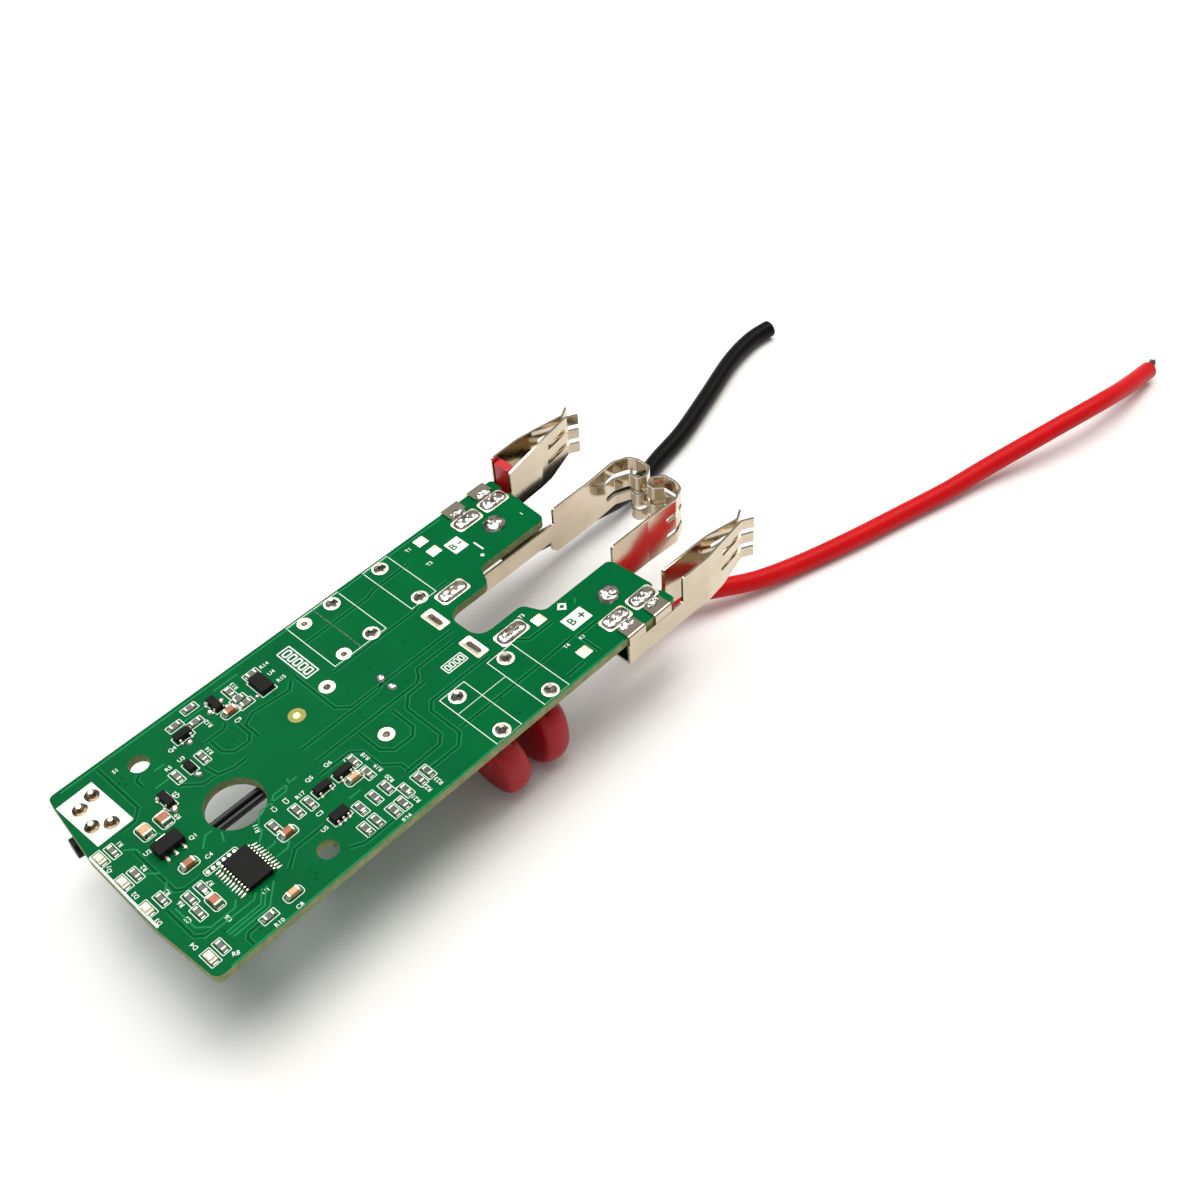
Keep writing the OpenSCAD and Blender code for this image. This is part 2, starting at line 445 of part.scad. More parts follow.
// rounded strip of solder, hipped on its long sides
module pillow(x0, x1, y, half, h) intersection() {
  linear_extrude(h) polygon(rounded([[x0, y - half, 0.8], [x1, y - half, 0.8], [x1, y + half, 0.8], [x0, y + half, 0.8]], 4));
  wall_yz([[y - half, 0], [y - half*0.45, h], [y + half*0.45, h], [y + half, 0]], x0 - 1, x1 + 1);
}

// ---------- sense leads ----------
sense_y = [0.7, -0.6];
sense_x = 49;                           // soldered ends
sense_x0 = 6.4;                         // ends in the bead
module sense_leads() color("#17181a") for (y = sense_y) translate([0, y, under - sense_d/2]) rotate([0, 90, 0])
  translate([0, 0, sense_x0]) cylinder(d = sense_d, h = sense_x - sense_x0, $fn = 12);
module sensor_bead() color("#2a2118") translate([sense_x0 - 1.8, 0.05, under - 1.1]) box(-1.8, 1.8, -1.3, 1.3, -1, 1.1);
module sense_solder() color("#b9b7b0") for (y = [1.8, -0.9]) translate([sense_x, y, 0]) cap_dome(0.8, 0.45);

placed() board();
placed() color("#cfcac0") contact_outer();  // contact_outer_left
placed() color("#cfcac0") mirrored(1) contact_outer();  // contact_outer_right
placed() color("#cfcac0") contact_middle();  // contact_middle_left
placed() color("#cfcac0") mirrored(1) contact_middle();  // contact_middle_right
placed() throat_spacer();
placed() dipped_at(cap_rows[1], -1, 0);  // capacitor_right_far
placed() dipped_at(cap_rows[0], -1, cap_lean);  // capacitor_right_near
placed() dipped_at(cap_rows[1], 1, 0);  // capacitor_left_far
placed() dipped_at(cap_rows[0], 1, 0);  // capacitor_left_near
placed() capacitor_legs();
placed() switch_housing();
placed() switch_frame();
placed() switch_pins();
placed() switch_plunger();
placed() controller_body();
placed() controller_leads();
placed() regulator_body();
placed() regulator_leads();
placed() transistor_bodies();
placed() transistor_leads();
placed() chip_resistors();
placed() chip_capacitors();
placed() chip_end_caps();
placed() status_leds();
placed() wire_red();
placed() wire_black();
placed() wire_red_end();
placed() wire_solder();
placed() leg_solder();
placed() contact_solder();
placed() sense_leads();
placed() sensor_bead();
placed() sense_solder();
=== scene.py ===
# Battery management board: the look of the object, on the frame of the CAD model.
import math

import bmesh
import bpy
import numpy as np
from mathutils import Matrix, Vector


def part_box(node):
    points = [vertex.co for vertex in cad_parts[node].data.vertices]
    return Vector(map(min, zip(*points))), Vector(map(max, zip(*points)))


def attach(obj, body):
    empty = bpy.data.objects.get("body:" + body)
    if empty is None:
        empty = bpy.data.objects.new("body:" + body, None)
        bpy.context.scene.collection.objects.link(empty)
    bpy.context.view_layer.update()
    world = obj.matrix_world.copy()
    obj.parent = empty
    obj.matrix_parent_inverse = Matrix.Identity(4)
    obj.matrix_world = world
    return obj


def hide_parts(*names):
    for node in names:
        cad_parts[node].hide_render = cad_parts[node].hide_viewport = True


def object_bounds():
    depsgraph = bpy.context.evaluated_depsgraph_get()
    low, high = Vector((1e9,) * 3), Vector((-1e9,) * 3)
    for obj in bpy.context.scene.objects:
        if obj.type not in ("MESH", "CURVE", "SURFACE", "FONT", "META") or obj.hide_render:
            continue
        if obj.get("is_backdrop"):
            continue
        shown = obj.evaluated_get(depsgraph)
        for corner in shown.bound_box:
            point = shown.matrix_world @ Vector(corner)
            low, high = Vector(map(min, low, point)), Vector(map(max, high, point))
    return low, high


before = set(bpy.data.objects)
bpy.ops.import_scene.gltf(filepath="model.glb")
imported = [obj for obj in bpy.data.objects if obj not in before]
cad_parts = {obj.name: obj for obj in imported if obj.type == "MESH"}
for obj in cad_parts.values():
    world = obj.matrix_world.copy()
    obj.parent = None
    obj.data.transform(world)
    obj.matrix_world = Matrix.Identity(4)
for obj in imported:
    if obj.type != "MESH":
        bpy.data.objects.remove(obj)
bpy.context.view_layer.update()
scene = bpy.context.scene
mm = 0.001
boardLow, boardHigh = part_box("board")
straightEdge = 92.4                     # the board's long edge, in mm
boardDeep = (boardHigh.z - boardLow.z) / mm
origin = np.array([boardHigh.x - straightEdge * mm, 0.0, boardHigh.z])
bevelSegments = 2


def toWorld(points):
    # board millimetres, from the near left corner and the board's top, to metres
    return np.asarray(points, float) * mm + origin


def toBoard(points):
    # metres to board millimetres
    return (np.asarray(points, float) - origin) / mm


def linear(code):
    # an sRGB hex code as linear red, green, blue, alpha
    parts = [int(code[i:i + 2], 16) / 255 for i in (1, 3, 5)]
    return [p / 12.92 if p <= 0.04045 else ((p + 0.055) / 1.055) ** 2.4 for p in parts] + [1.0]


# camera, light and floor
def addObject(name, data):
    made = bpy.data.objects.new(name, data)
    scene.collection.objects.link(made)
    return made


cameraSettings = {
    "place": (-97.28, -145.59, 214.58),
    "right": (0.68644, -0.72554, -0.04890),
    "up": (0.55289, 0.47705, 0.68318),
    "back": (-0.47235, -0.49600, 0.72861),
    "lens": 48.99,
}


def addCamera(settings):
    data = bpy.data.cameras.new("camera")
    data.lens = settings["lens"]
    data.sensor_width = 36.0
    data.clip_start = 0.01
    data.clip_end = 20.0
    camera = addObject("camera", data)
    turn = Matrix((settings["right"], settings["up"], settings["back"])).transposed()
    camera.matrix_world = Matrix.Translation(Vector(settings["place"]) * mm) @ turn.to_4x4()
    scene.camera = camera


def addNode(tree, kind, settings=None, links=None):
    # one shader node with its settings and its incoming links
    made = tree.nodes.new("ShaderNode" + kind)
    for name, value in (settings or {}).items():
        made.inputs[name].default_value = value
    for name, source in (links or {}).items():
        tree.links.new(source, made.inputs[name])
    return made


def mixColour(tree, factor, first, second):
    # two plain colours mixed by a factor that another node gives
    made = tree.nodes.new("ShaderNodeMix")
    made.data_type = "RGBA"
    factorIn, firstIn, secondIn = (made.inputs[index] for index in (0, 6, 7))
    tree.links.new(factor, factorIn)
    firstIn.default_value, secondIn.default_value = first, second
    return made.outputs[2]


lightSettings = {
    "key": {"place": (140, 545, 760), "size": 380, "power": 2.6, "colour": "#ffffff"},
    "fill": {"place": (520, -20, 700), "size": 420, "power": 2.6, "colour": "#fffaf2"},
    "top": {"place": (-60, 60, 900), "size": 640, "power": 5.4, "colour": "#ffffff"},
}
lightAim = (20, 0, 5)
worldSettings = {"camera": "#fdfdfc", "sky": "#ffffff", "strength": 0.4}


def addLights(lamps):
    for name, lamp in lamps.items():
        data = bpy.data.lights.new(name, "AREA")
        data.shape = "SQUARE"
        data.size = lamp["size"] * mm
        data.energy = lamp["power"]
        data.color = linear(lamp["colour"])[:3]
        made = addObject(name, data)
        made.location = Vector(lamp["place"]) * mm
        way = Vector(lamp["place"]) - Vector(lightAim)
        made.rotation_mode = "QUATERNION"
        made.rotation_quaternion = way.to_track_quat("Z", "Y")


def addWorld(settings):
    # white behind the object, and a soft even room for everything else
    world = bpy.data.worlds.new("studio")
    scene.world = world
    world.use_nodes = True
    tree = world.node_tree
    tree.nodes.clear()
    seen = addNode(tree, "Background", {"Color": linear(settings["camera"]), "Strength": 1.0})
    room = addNode(tree, "Background", {"Color": linear(settings["sky"]), "Strength": settings["strength"]})
    path = addNode(tree, "LightPath")
    mixed = addNode(tree, "MixShader", {}, {"Fac": path.outputs["Is Camera Ray"]})
    tree.links.new(room.outputs[0], mixed.inputs[1])
    tree.links.new(seen.outputs[0], mixed.inputs[2])
    addNode(tree, "OutputWorld", {}, {"Surface": mixed.outputs[0]})


def addFloor():
    # matt white paper, so the shadows of the board and wires stay soft and plain
    side = 1.6
    mesh = bpy.data.meshes.new("paper")
    corners = [(-side, -side, 0), (side, -side, 0), (side, side, 0), (-side, side, 0)]
    mesh.from_pydata(corners, [], [(0, 1, 2, 3)])
    paper = bpy.data.materials.new("mattWhitePaper")
    paper.use_nodes = True
    skin = paper.node_tree.nodes["Principled BSDF"]
    skin.inputs["Base Color"].default_value = linear("#f2f1ef")
    skin.inputs["Roughness"].default_value = 1.0
    skin.inputs["Specular IOR Level"].default_value = 0.0
    mesh.materials.append(paper)
    addObject("paper", mesh)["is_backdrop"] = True


addCamera(cameraSettings)
addLights(lightSettings)
addWorld(worldSettings)
addFloor()
scene.view_settings.view_transform = "Standard"
print("stage: camera, lights and floor")


# materials
def perMetre(size):
    # the texture scale that makes a pattern repeat about every size millimetres
    return 1.0 / (size * mm)


def middlePart(tree, value, low, high):
    # the middle part of a noise, from 0.3 to 0.7, stretched from low to high
    ranges = {"From Min": 0.3, "From Max": 0.7, "To Min": low, "To Max": high}
    return addNode(tree, "MapRange", ranges, {"Value": value}).outputs["Result"]


def surface(name, colour, deep, roughness, pattern, metallic=0.0, spread=0.08, streak=(1, 1, 1),
            specular=0.5, settings=None):
    # a base of two colours mixed by a soft mottle, with a fine grain in its roughness and height;
    # the pattern is the mottle's size, the grain's size and the grain's relief, in millimetres
    mottle, grain, relief = pattern
    made = bpy.data.materials.new(name)
    made.use_nodes = True
    tree = made.node_tree
    skin = tree.nodes["Principled BSDF"]
    where = addNode(tree, "TexCoord").outputs["Object"]
    stretched = addNode(tree, "Mapping", {"Scale": streak}, {"Vector": where}).outputs[0]
    soft = addNode(tree, "TexNoise", {"Scale": perMetre(mottle), "Detail": 3.0, "Roughness": 0.55},
                   {"Vector": where}).outputs["Fac"]
    fine = addNode(tree, "TexNoise", {"Scale": perMetre(grain), "Detail": 4.0, "Roughness": 0.6},
                   {"Vector": stretched}).outputs["Fac"]
    shade = middlePart(tree, soft, 0.0, 1.0)
    rough = middlePart(tree, fine, max(0.02, roughness - spread), min(1.0, roughness + spread))
    bump = addNode(tree, "Bump", {"Strength": 1.0, "Distance": relief * mm}, {"Height": fine})
    tree.links.new(mixColour(tree, shade, linear(colour), linear(deep)), skin.inputs["Base Color"])
    tree.links.new(rough, skin.inputs["Roughness"])
    tree.links.new(bump.outputs["Normal"], skin.inputs["Normal"])
    skin.inputs["Metallic"].default_value = metallic
    skin.inputs["Specular IOR Level"].default_value = specular
    for key, value in (settings or {}).items():
        skin.inputs[key].default_value = value
    return made


finishes = {
    # green lacquer over woven glass: even and satin, a little darker where the laminate shows through
    "mask": surface("curedSolderMask", "#005f30", "#00562c", 0.38, (9.0, 0.5, 0.004), specular=0.02),
    "maskCopper": surface("solderMaskOverCopper", "#14824b", "#0d7844", 0.32, (9.0, 0.5, 0.004),
                          specular=0.06),
    "maskDeep": surface("solderMaskOverLaminate", "#004c27", "#004624", 0.4, (7.0, 0.4, 0.004),
                        specular=0.03),
    # routed laminate: dull olive tan with the glass layers in it
    "laminate": surface("routedLaminate", "#8d9465", "#6f7b4d", 0.75, (1.2, 0.12, 0.02), streak=(1, 1, 6)),
    # stamped nickel plate: warm grey mirror with a faint rolled grain
    "nickel": surface("stampedNickelPlate", "#d0c4b0", "#c0b29b", 0.11, (6.0, 0.2, 0.001), 1.0,
                      spread=0.03, streak=(1, 1, 8)),
    "tin": surface("hotTinnedPad", "#efe7d2", "#e6dcc6", 0.36, (3.0, 0.3, 0.004), 1.0, spread=0.04),
    "solder": surface("handSolder", "#cfccc6", "#b5b1a9", 0.16, (0.8, 0.35, 0.02), 1.0),
    # solder on the through legs: bright solder mottled with dark brown; the dark is painted reflection of a
    # dark room, with some flux browning in it
    "fluxAndPaintedReflection": surface("fluxedSolderPaintedReflection", "#b9b4ab", "#3f3830", 0.2, (0.7, 0.35, 0.02), 1.0),
    "brownFlux": surface("fluxFloodedSolder", "#a08a6a", "#33291d", 0.24, (0.8, 0.35, 0.02), 1.0),
    # poured solder: bright metal mottled with dark grey, the dark being painted reflection of a dark room
    "domes": surface("pouredSolderPaintedReflection", "#e2ded6", "#57524b", 0.15, (1.6, 0.7, 0.012), 1.0),
    "legWire": surface("tinnedLegWire", "#c9c4b9", "#aaa59a", 0.28, (1.0, 0.2, 0.004), 1.0),
    "dip": surface("dippedEpoxy", "#a5141d", "#950f18", 0.42, (5.0, 0.9, 0.035), specular=0.2),
    "redSilicone": surface("extrudedRedSilicone", "#c4040d", "#b8030b", 0.42, (8.0, 0.15, 0.004),
                           specular=0.15),
    "blackSilicone": surface("extrudedBlackSilicone", "#060808", "#040505", 0.42, (8.0, 0.15, 0.004),
                             specular=0.1),
    "compound": surface("mouldedChipCompound", "#141312", "#0f0e0d", 0.6, (1.6, 0.06, 0.006),
                        specular=0.14),
    "blackPlastic": surface("mouldedBlackNylon", "#0d0e0f", "#08090a", 0.42, (3.0, 0.1, 0.005),
                            specular=0.2),
    "alumina": surface("firedAlumina", "#d9d3c4", "#c6bfae", 0.6, (0.6, 0.08, 0.006)),
    "film": surface("resistorGlaze", "#2a211b", "#17120f", 0.25, (0.9, 0.1, 0.004)),
    "ceramic": surface("firedCapacitorCeramic", "#b0643a", "#93502c", 0.45, (0.8, 0.08, 0.004)),
    "ceramicPale": surface("paleCapacitorCeramic", "#d8a877", "#c08f60", 0.45, (0.8, 0.08, 0.004)),
    "lens": surface("ledResin", "#f3ecd6", "#e8dcb8", 0.3, (0.7, 0.1, 0.003),
                    settings={"Subsurface Weight": 0.15, "Subsurface Scale": 0.0006}),
    "ink": surface("screenPrintedInk", "#eef0ea", "#d5ddd3", 0.65, (0.5, 0.12, 0.004)),
    "gold": surface("goldFlash", "#f3dc8c", "#d9bb62", 0.22, (0.6, 0.15, 0.003), 1.0),
    "bareLaminate": surface("bareLaminate", "#9a9338", "#86822f", 0.5, (0.8, 0.15, 0.006)),
    "steel": surface("tinnedSteelFrame", "#c7c5be", "#b0aea6", 0.28, (2.0, 0.15, 0.003), 1.0),
    "lead": surface("extrudedBlackPvc", "#0d0e0f", "#08090a", 0.3, (5.0, 0.2, 0.004), specular=0.35),
    "bead": surface("epoxyBead", "#2b2118", "#1c1510", 0.3, (0.8, 0.3, 0.02)),
    "spacer": surface("mouldedRedPlastic", "#c8141d", "#b00f18", 0.4, (2.0, 0.1, 0.004)),
    "strand": surface("tinnedStrand", "#9b948a", "#5f5850", 0.32, (0.5, 0.15, 0.006), 1.0),
}
print("stage: materials")


# pieces
crease = 35                             # edges sharper than this, in degrees, stay crisp and are rounded
weldGap = 0.001


def linkPiece(obj, finish, body="board_body", replaces=()):
    obj.data.materials.clear()
    obj.data.materials.append(finishes[finish])
    scene.collection.objects.link(obj)
    if replaces:
        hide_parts(*replaces)
    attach(obj, body)
    return obj


def meshObject(name, mesh, smooth, bevel):
    # an object with a smooth look, crisp edges and, where bevel isn't nought, small rounds on them
    mesh.shade_smooth()
    mesh.set_sharp_from_angle(angle=math.radians(smooth))
    obj = bpy.data.objects.new(name, mesh)
    if bevel:
        edge = obj.modifiers.new("edge", "BEVEL")
        edge.width = bevel * mm
        edge.segments = bevelSegments
        edge.limit_method = "ANGLE"
        edge.angle_limit = math.radians(crease)
        edge.use_clamp_overlap = True
        edge.harden_normals = True
    return obj


def meshPiece(name, parts, finish, replaces=(), smooth=crease, bevel=0.0):
    # parts is a list of (points, faces) in board millimetres
    points, faces, base = [], [], 0
    for some, these in parts:
        points.append(some)
        faces += [[base + i for i in face] for face in these]
        base += len(some)
    mesh = bpy.data.meshes.new(name)
    mesh.from_pydata(toWorld(np.vstack(points)).tolist(), [], faces)
    return linkPiece(meshObject(name, mesh, smooth, bevel), finish, replaces=replaces)


def dressed(node, finish, bevel, body="board_body"):
    # a clean copy of a CAD node's mesh with small rounds on its edges
    name = node + "_dressed"
    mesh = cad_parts[node].data.copy()
    mesh.name = name
    work = bmesh.new()
    work.from_mesh(mesh)
    bmesh.ops.remove_doubles(work, verts=work.verts, dist=weldGap * mm)
    bmesh.ops.dissolve_limit(work, angle_limit=math.radians(0.5), verts=work.verts, edges=work.edges)
    work.to_mesh(mesh)
    work.free()
    return linkPiece(meshObject(name, mesh, crease, bevel), finish, body, (node,))


def ringFaces(rows, around):
    # the quads between closed rings of points that follow one another
    return [[r * around + i, r * around + (i + 1) % around, (r + 1) * around + (i + 1) % around,
             (r + 1) * around + i] for r in range(rows - 1) for i in range(around)]


def gridFaces(rows, width):
    # the quads between open rows of points
    return [[r * width + i, (r + 1) * width + i, (r + 1) * width + i + 1, r * width + i + 1]
            for r in range(rows - 1) for i in range(width - 1)]


# cords: points in board millimetres, from under the board to the loose end
wires = {
    "red": {"width": 3.5, "run": [
        (85.8, -13.1, -1.95), (85.8, -13.1, -3), (85.8, -13.1, -4.2), (87.9, -13, -8.8), (93, -12.8, -11.6),
        (98.5, -12.7, -12.8), (104, -13.6, -14.2), (110, -16.2, -15.6), (117, -19.3, -16.9),
        (126, -22.2, -17.7), (137, -25.5, -17.7), (148, -28.3, -17.7), (158, -31, -17.4),
        (167.5, -33.4, -16.5), (176, -36.2, -15), (185, -39, -13.7), (194, -41, -13.5), (203, -41.4, -15.2),
        (213, -41, -17.4)]},
    "black": {"width": 3.5, "run": [
        (85.1, 13.2, -1.95), (85.1, 13.2, -3), (85.1, 13.2, -4.2), (87.4, 13.2, -8.4), (93.5, 13.2, -11),
        (101, 13.2, -12.7), (108, 13.2, -14.1), (115, 13.3, -15.8), (122, 14.2, -17.2), (130, 16.3, -17.7),
        (139, 18, -17.7), (150, 21.3, -17.7), (162, 25.1, -17.7), (170, 26.4, -17.7), (175.5, 26, -17.7)]},
}
wireSteps = {"around": 8, "along": 12, "measured": 20}


def smoothRun(points, steps):
    # a smooth run through the points: cubic spans whose ends lean along their neighbours
    points = np.asarray(points, float)
    ends = np.vstack([points[:1], points, points[-1:]])
    t = np.linspace(0, 1, steps, endpoint=False)[:, None]
    spans = []
    for a, b, c, d in zip(ends[:-3], ends[1:-2], ends[2:-1], ends[3:]):
        spans.append(0.5 * (2 * b + (c - a) * t + (2 * a - 5 * b + 4 * c - d) * t ** 2
                            + (3 * b - a - 3 * c + d) * t ** 3))
    return np.vstack(spans + [points[-1:]])


def wireCurve(name, settings, node, finish):
    points = toWorld(settings["run"])
    data = bpy.data.curves.new(name, "CURVE")
    data.dimensions = "3D"
    data.bevel_depth = settings["width"] / 2 * mm
    data.bevel_resolution = wireSteps["around"]
    data.use_fill_caps = True
    data.resolution_u = wireSteps["along"]
    spline = data.splines.new("BEZIER")
    spline.bezier_points.add(len(points) - 1)
    ends = np.vstack([points[:1], points, points[-1:]])
    lean = (ends[2:] - ends[:-2]) / 6
    for knot, middle, half in zip(spline.bezier_points, points, lean):
        knot.co = middle
        knot.handle_left = middle - half
        knot.handle_right = middle + half
    obj = bpy.data.objects.new(name, data)
    linkPiece(obj, finish, replaces=(node,))


def fullTurn(steps):
    # equal steps of a full turn, as angles
    return np.arange(steps) * 2 * math.pi / steps


def tube(run, radius, sides):
    # a closed tube round a run of points; its rings turn with the run
    run = np.asarray(run, float)
    way = np.gradient(run, axis=0)
    way /= np.linalg.norm(way, axis=1)[:, None]
    side = np.cross(way, [0.0, 1.0, 0.0])
    side /= np.linalg.norm(side, axis=1)[:, None]
    up = np.cross(side, way)
    angle = fullTurn(sides)
    radius = np.broadcast_to(np.asarray(radius, float), (len(run),))
    outward = (side[:, None] * np.cos(angle)[None, :, None] + up[:, None] * np.sin(angle)[None, :, None])
    rings = run[:, None] + radius[:, None, None] * outward
    ends = [list(range(sides))[::-1], [(len(run) - 1) * sides + k for k in range(sides)]]
    return rings.reshape(-1, 3), ringFaces(len(run), sides) + ends


# the bared end of the red wire: a twist of tinned strands
strandSettings = {
    "strand": 0.2, "bundle": 0.78, "rings": ((1, 0.0), (6, 0.42), (12, 0.8)),
    "inside": 0.3, "out": 2.0, "uneven": 0.25, "outerShort": 0.1,
    "lift": 0.5, "drawBack": 0.12, "turn": 0.5,
}


def strandTwist(settings, run):
    # strands that turn a little, and bend upward as they leave the insulation
    tip = np.asarray(run[-1], float)
    way = tip - np.asarray(run[-2], float)
    way /= np.linalg.norm(way)
    side = np.cross(way, [0, 0, 1.0])
    side /= np.linalg.norm(side)
    up = np.cross(side, way)
    parts = []
    for count, reach in settings["rings"]:
        for k in range(count):
            short = settings["uneven"] * ((k * 7) % 5) / 5 + settings["outerShort"] * (reach > 0)
            along = np.linspace(-settings["inside"], settings["out"] - short, 6)
            angle = 2 * math.pi * k / count + settings["turn"] * along
            spread = reach * settings["bundle"] * (1 - 0.12 * (along > 1))
            bend = np.maximum(along, 0)[:, None] ** 2
            outward = np.cos(angle)[:, None] * side + np.sin(angle)[:, None] * up
            middle = tip + (along[:, None] - settings["drawBack"] * bend) * way
            middle = middle + settings["lift"] * bend * (0, 0, 1) + spread[:, None] * outward
            parts.append(tube(middle, settings["strand"], 6))
    return parts


strands = strandTwist(strandSettings, smoothRun(wires["red"]["run"], 2))
redEnd = meshPiece("redWireStrands", strands, "strand", replaces=("wire_red_end",))
wireCurve("redWire", wires["red"], "wire_red", "redSilicone")
wireCurve("blackWire", wires["black"], "wire_black", "blackSilicone")
print("stage: cords")


# the CAD nodes that keep their shape
def dressBoard():
    # green faces, and laminate where the router cut its edge
    obj = dressed("board", "mask", 0.06)
    obj.data.materials.append(finishes["laminate"])
    normals = np.empty(len(obj.data.polygons) * 3)
    obj.data.polygons.foreach_get("normal", normals)
    edge = (np.abs(normals.reshape(-1, 3)[:, 2]) < 0.5).astype(np.int32)
    obj.data.polygons.foreach_set("material_index", edge)


dressBoard()
for side in ("left", "right"):
    dressed("contact_outer_" + side, "nickel", 0.07)
    dressed("contact_middle_" + side, "nickel", 0.08)
for node, finish, slot, bevel in (
        ("throat_spacer", "spacer", "spacer_red", 0.15), ("capacitor_legs", "legWire", "tinned_wire", 0.05),
        ("switch_housing", "blackPlastic", "switch_black", 0.12),
        ("switch_frame", "steel", "frame_steel", 0.06),
        ("switch_pins", "legWire", "tinned_wire", 0.06),
        ("controller_body", "compound", "chip_black", 0.08),
        ("controller_leads", "tin", "solder", 0.03), ("regulator_body", "compound", "chip_black", 0.1),
        ("regulator_leads", "tin", "solder", 0.06), ("transistor_bodies", "compound", "chip_black", 0.07),
        ("transistor_leads", "tin", "solder", 0.03), ("sense_leads", "lead", "lead_black", 0.0),
        ("sensor_bead", "bead", "bead_dark", 0.4)):
    dressed(node, finish, bevel)
dressed("switch_plunger", "blackPlastic", 0.15, body="plunger")
print("stage: dressed CAD nodes")

# flat work on the board
inkHeight = 0.022
inkEdge = 0.03


def mitred(run, closed):
    # left-hand normals of a flat run, lengthened at its corners
    run = np.asarray(run, float)
    step = np.roll(run, -1, axis=0) - run
    step /= np.linalg.norm(step, axis=1)[:, None] + 1e-12
    back = np.roll(step, 1, axis=0)
    if not closed:
        step[-1] = back[-1]
        back[0] = step[0]
    both = step + back
    side = np.column_stack([-both[:, 1], both[:, 0]])
    return side / (1 + (step * back).sum(1))[:, None]


def strip(run, profile, closed=False, base=0.0):
    # a flat run with a cross-section of (offset to the left, height) points
    run = np.asarray(run, float)
    side = mitred(run, closed)
    profile = np.asarray(profile, float)
    count, width = len(run), len(profile)
    flat = run[:, None] + side[:, None] * profile[None, :, :1]
    level = np.broadcast_to(profile[None, :, 1:] + base, (count, width, 1))
    faces = gridFaces(count, width)
    if closed:
        last = (count - 1) * width
        faces += [[last + j, j, j + 1, last + j + 1] for j in range(width - 1)]
    return np.concatenate([flat, level], axis=2).reshape(-1, 3), faces


def line(run, width, height, closed=False):
    half, edge = width / 2, min(inkEdge, width / 5)
    return strip(run, [(-half, 0), (edge - half, height), (half - edge, height), (half, 0)], closed)


def atLevel(flat, level):
    return np.column_stack([flat, np.full(len(flat), level)])


def turned(points, x, y, turn):
    angle = math.radians(turn)
    spin = np.array([[math.cos(angle), math.sin(angle)], [-math.sin(angle), math.cos(angle)]])
    return np.asarray(points, float) @ spin + (x, y)


def circle(x, y, radius, steps=28):
    angle = fullTurn(steps)
    return np.column_stack([x + radius * np.cos(angle), y + radius * np.sin(angle)])


def roundRect(x, y, width, length, radius, turn=0.0, steps=4):
    # corners of radius as arcs, anticlockwise
    arc = np.radians(np.linspace(0, 90, steps + 1))
    corners = []
    for quarter, (sx, sy) in enumerate(((1, 1), (-1, 1), (-1, -1), (1, -1))):
        angle = arc + quarter * math.pi / 2
        corners.append(np.column_stack([sx * (width / 2 - radius) + radius * np.cos(angle),
                                        sy * (length / 2 - radius) + radius * np.sin(angle)]))
    return turned(np.vstack(corners), x, y, turn)


def cushion(outline, height, inset=0.12):
    # a solid flat shape whose top is rounded towards its edge
    outline = np.asarray(outline, float)
    inward = mitred(outline, True)
    count = len(outline)
    rings = [atLevel(outline + inward * inset * move, height * rise)
             for move, rise in ((0, 0), (0.08, 0.55), (0.4, 0.9), (1, 1))]
    return np.vstack(rings), ringFaces(len(rings), count) + [[3 * count + i for i in range(count)]]


def ring(x, y, inner, outer, height, base=0.0, steps=32):
    half = (outer - inner) / 2
    profile = [(-half, 0), (-half * 0.9, height * 0.7), (-half * 0.5, height), (half * 0.6, height),
               (half, height * 0.4)]
    return strip(circle(x, y, (inner + outer) / 2, steps), profile, True, base)


def boxed(x, y, width, length, corner, turn=0.0, stroke=0.14):
    # a printed outline
    return line(roundRect(x, y, width, length, corner, turn), stroke, inkHeight, True)


def filled(x, y, width, length, turn=0.0):
    # a printed patch
    return cushion(roundRect(x, y, width, length, 0.1, turn), inkHeight, inkEdge)


def lettering(text, x, y, size, turn=0.0, height=inkHeight):
    # plain marks, from the built-in face
    data = bpy.data.curves.new("mark", "FONT")
    data.body = text
    data.size = size
    data.offset = 0.012 * size
    data.resolution_u = 2
    data.align_x = "CENTER"
    data.align_y = "CENTER"
    obj = addObject("mark", data)
    mesh = bpy.data.meshes.new_from_object(obj.evaluated_get(bpy.context.evaluated_depsgraph_get()))
    bpy.data.objects.remove(obj)
    flat = np.array([v.co[:2] for v in mesh.vertices])
    faces = [list(p.vertices) for p in mesh.polygons]
    bpy.data.meshes.remove(mesh)
    return atLevel(turned(flat, x, y, turn), height), faces


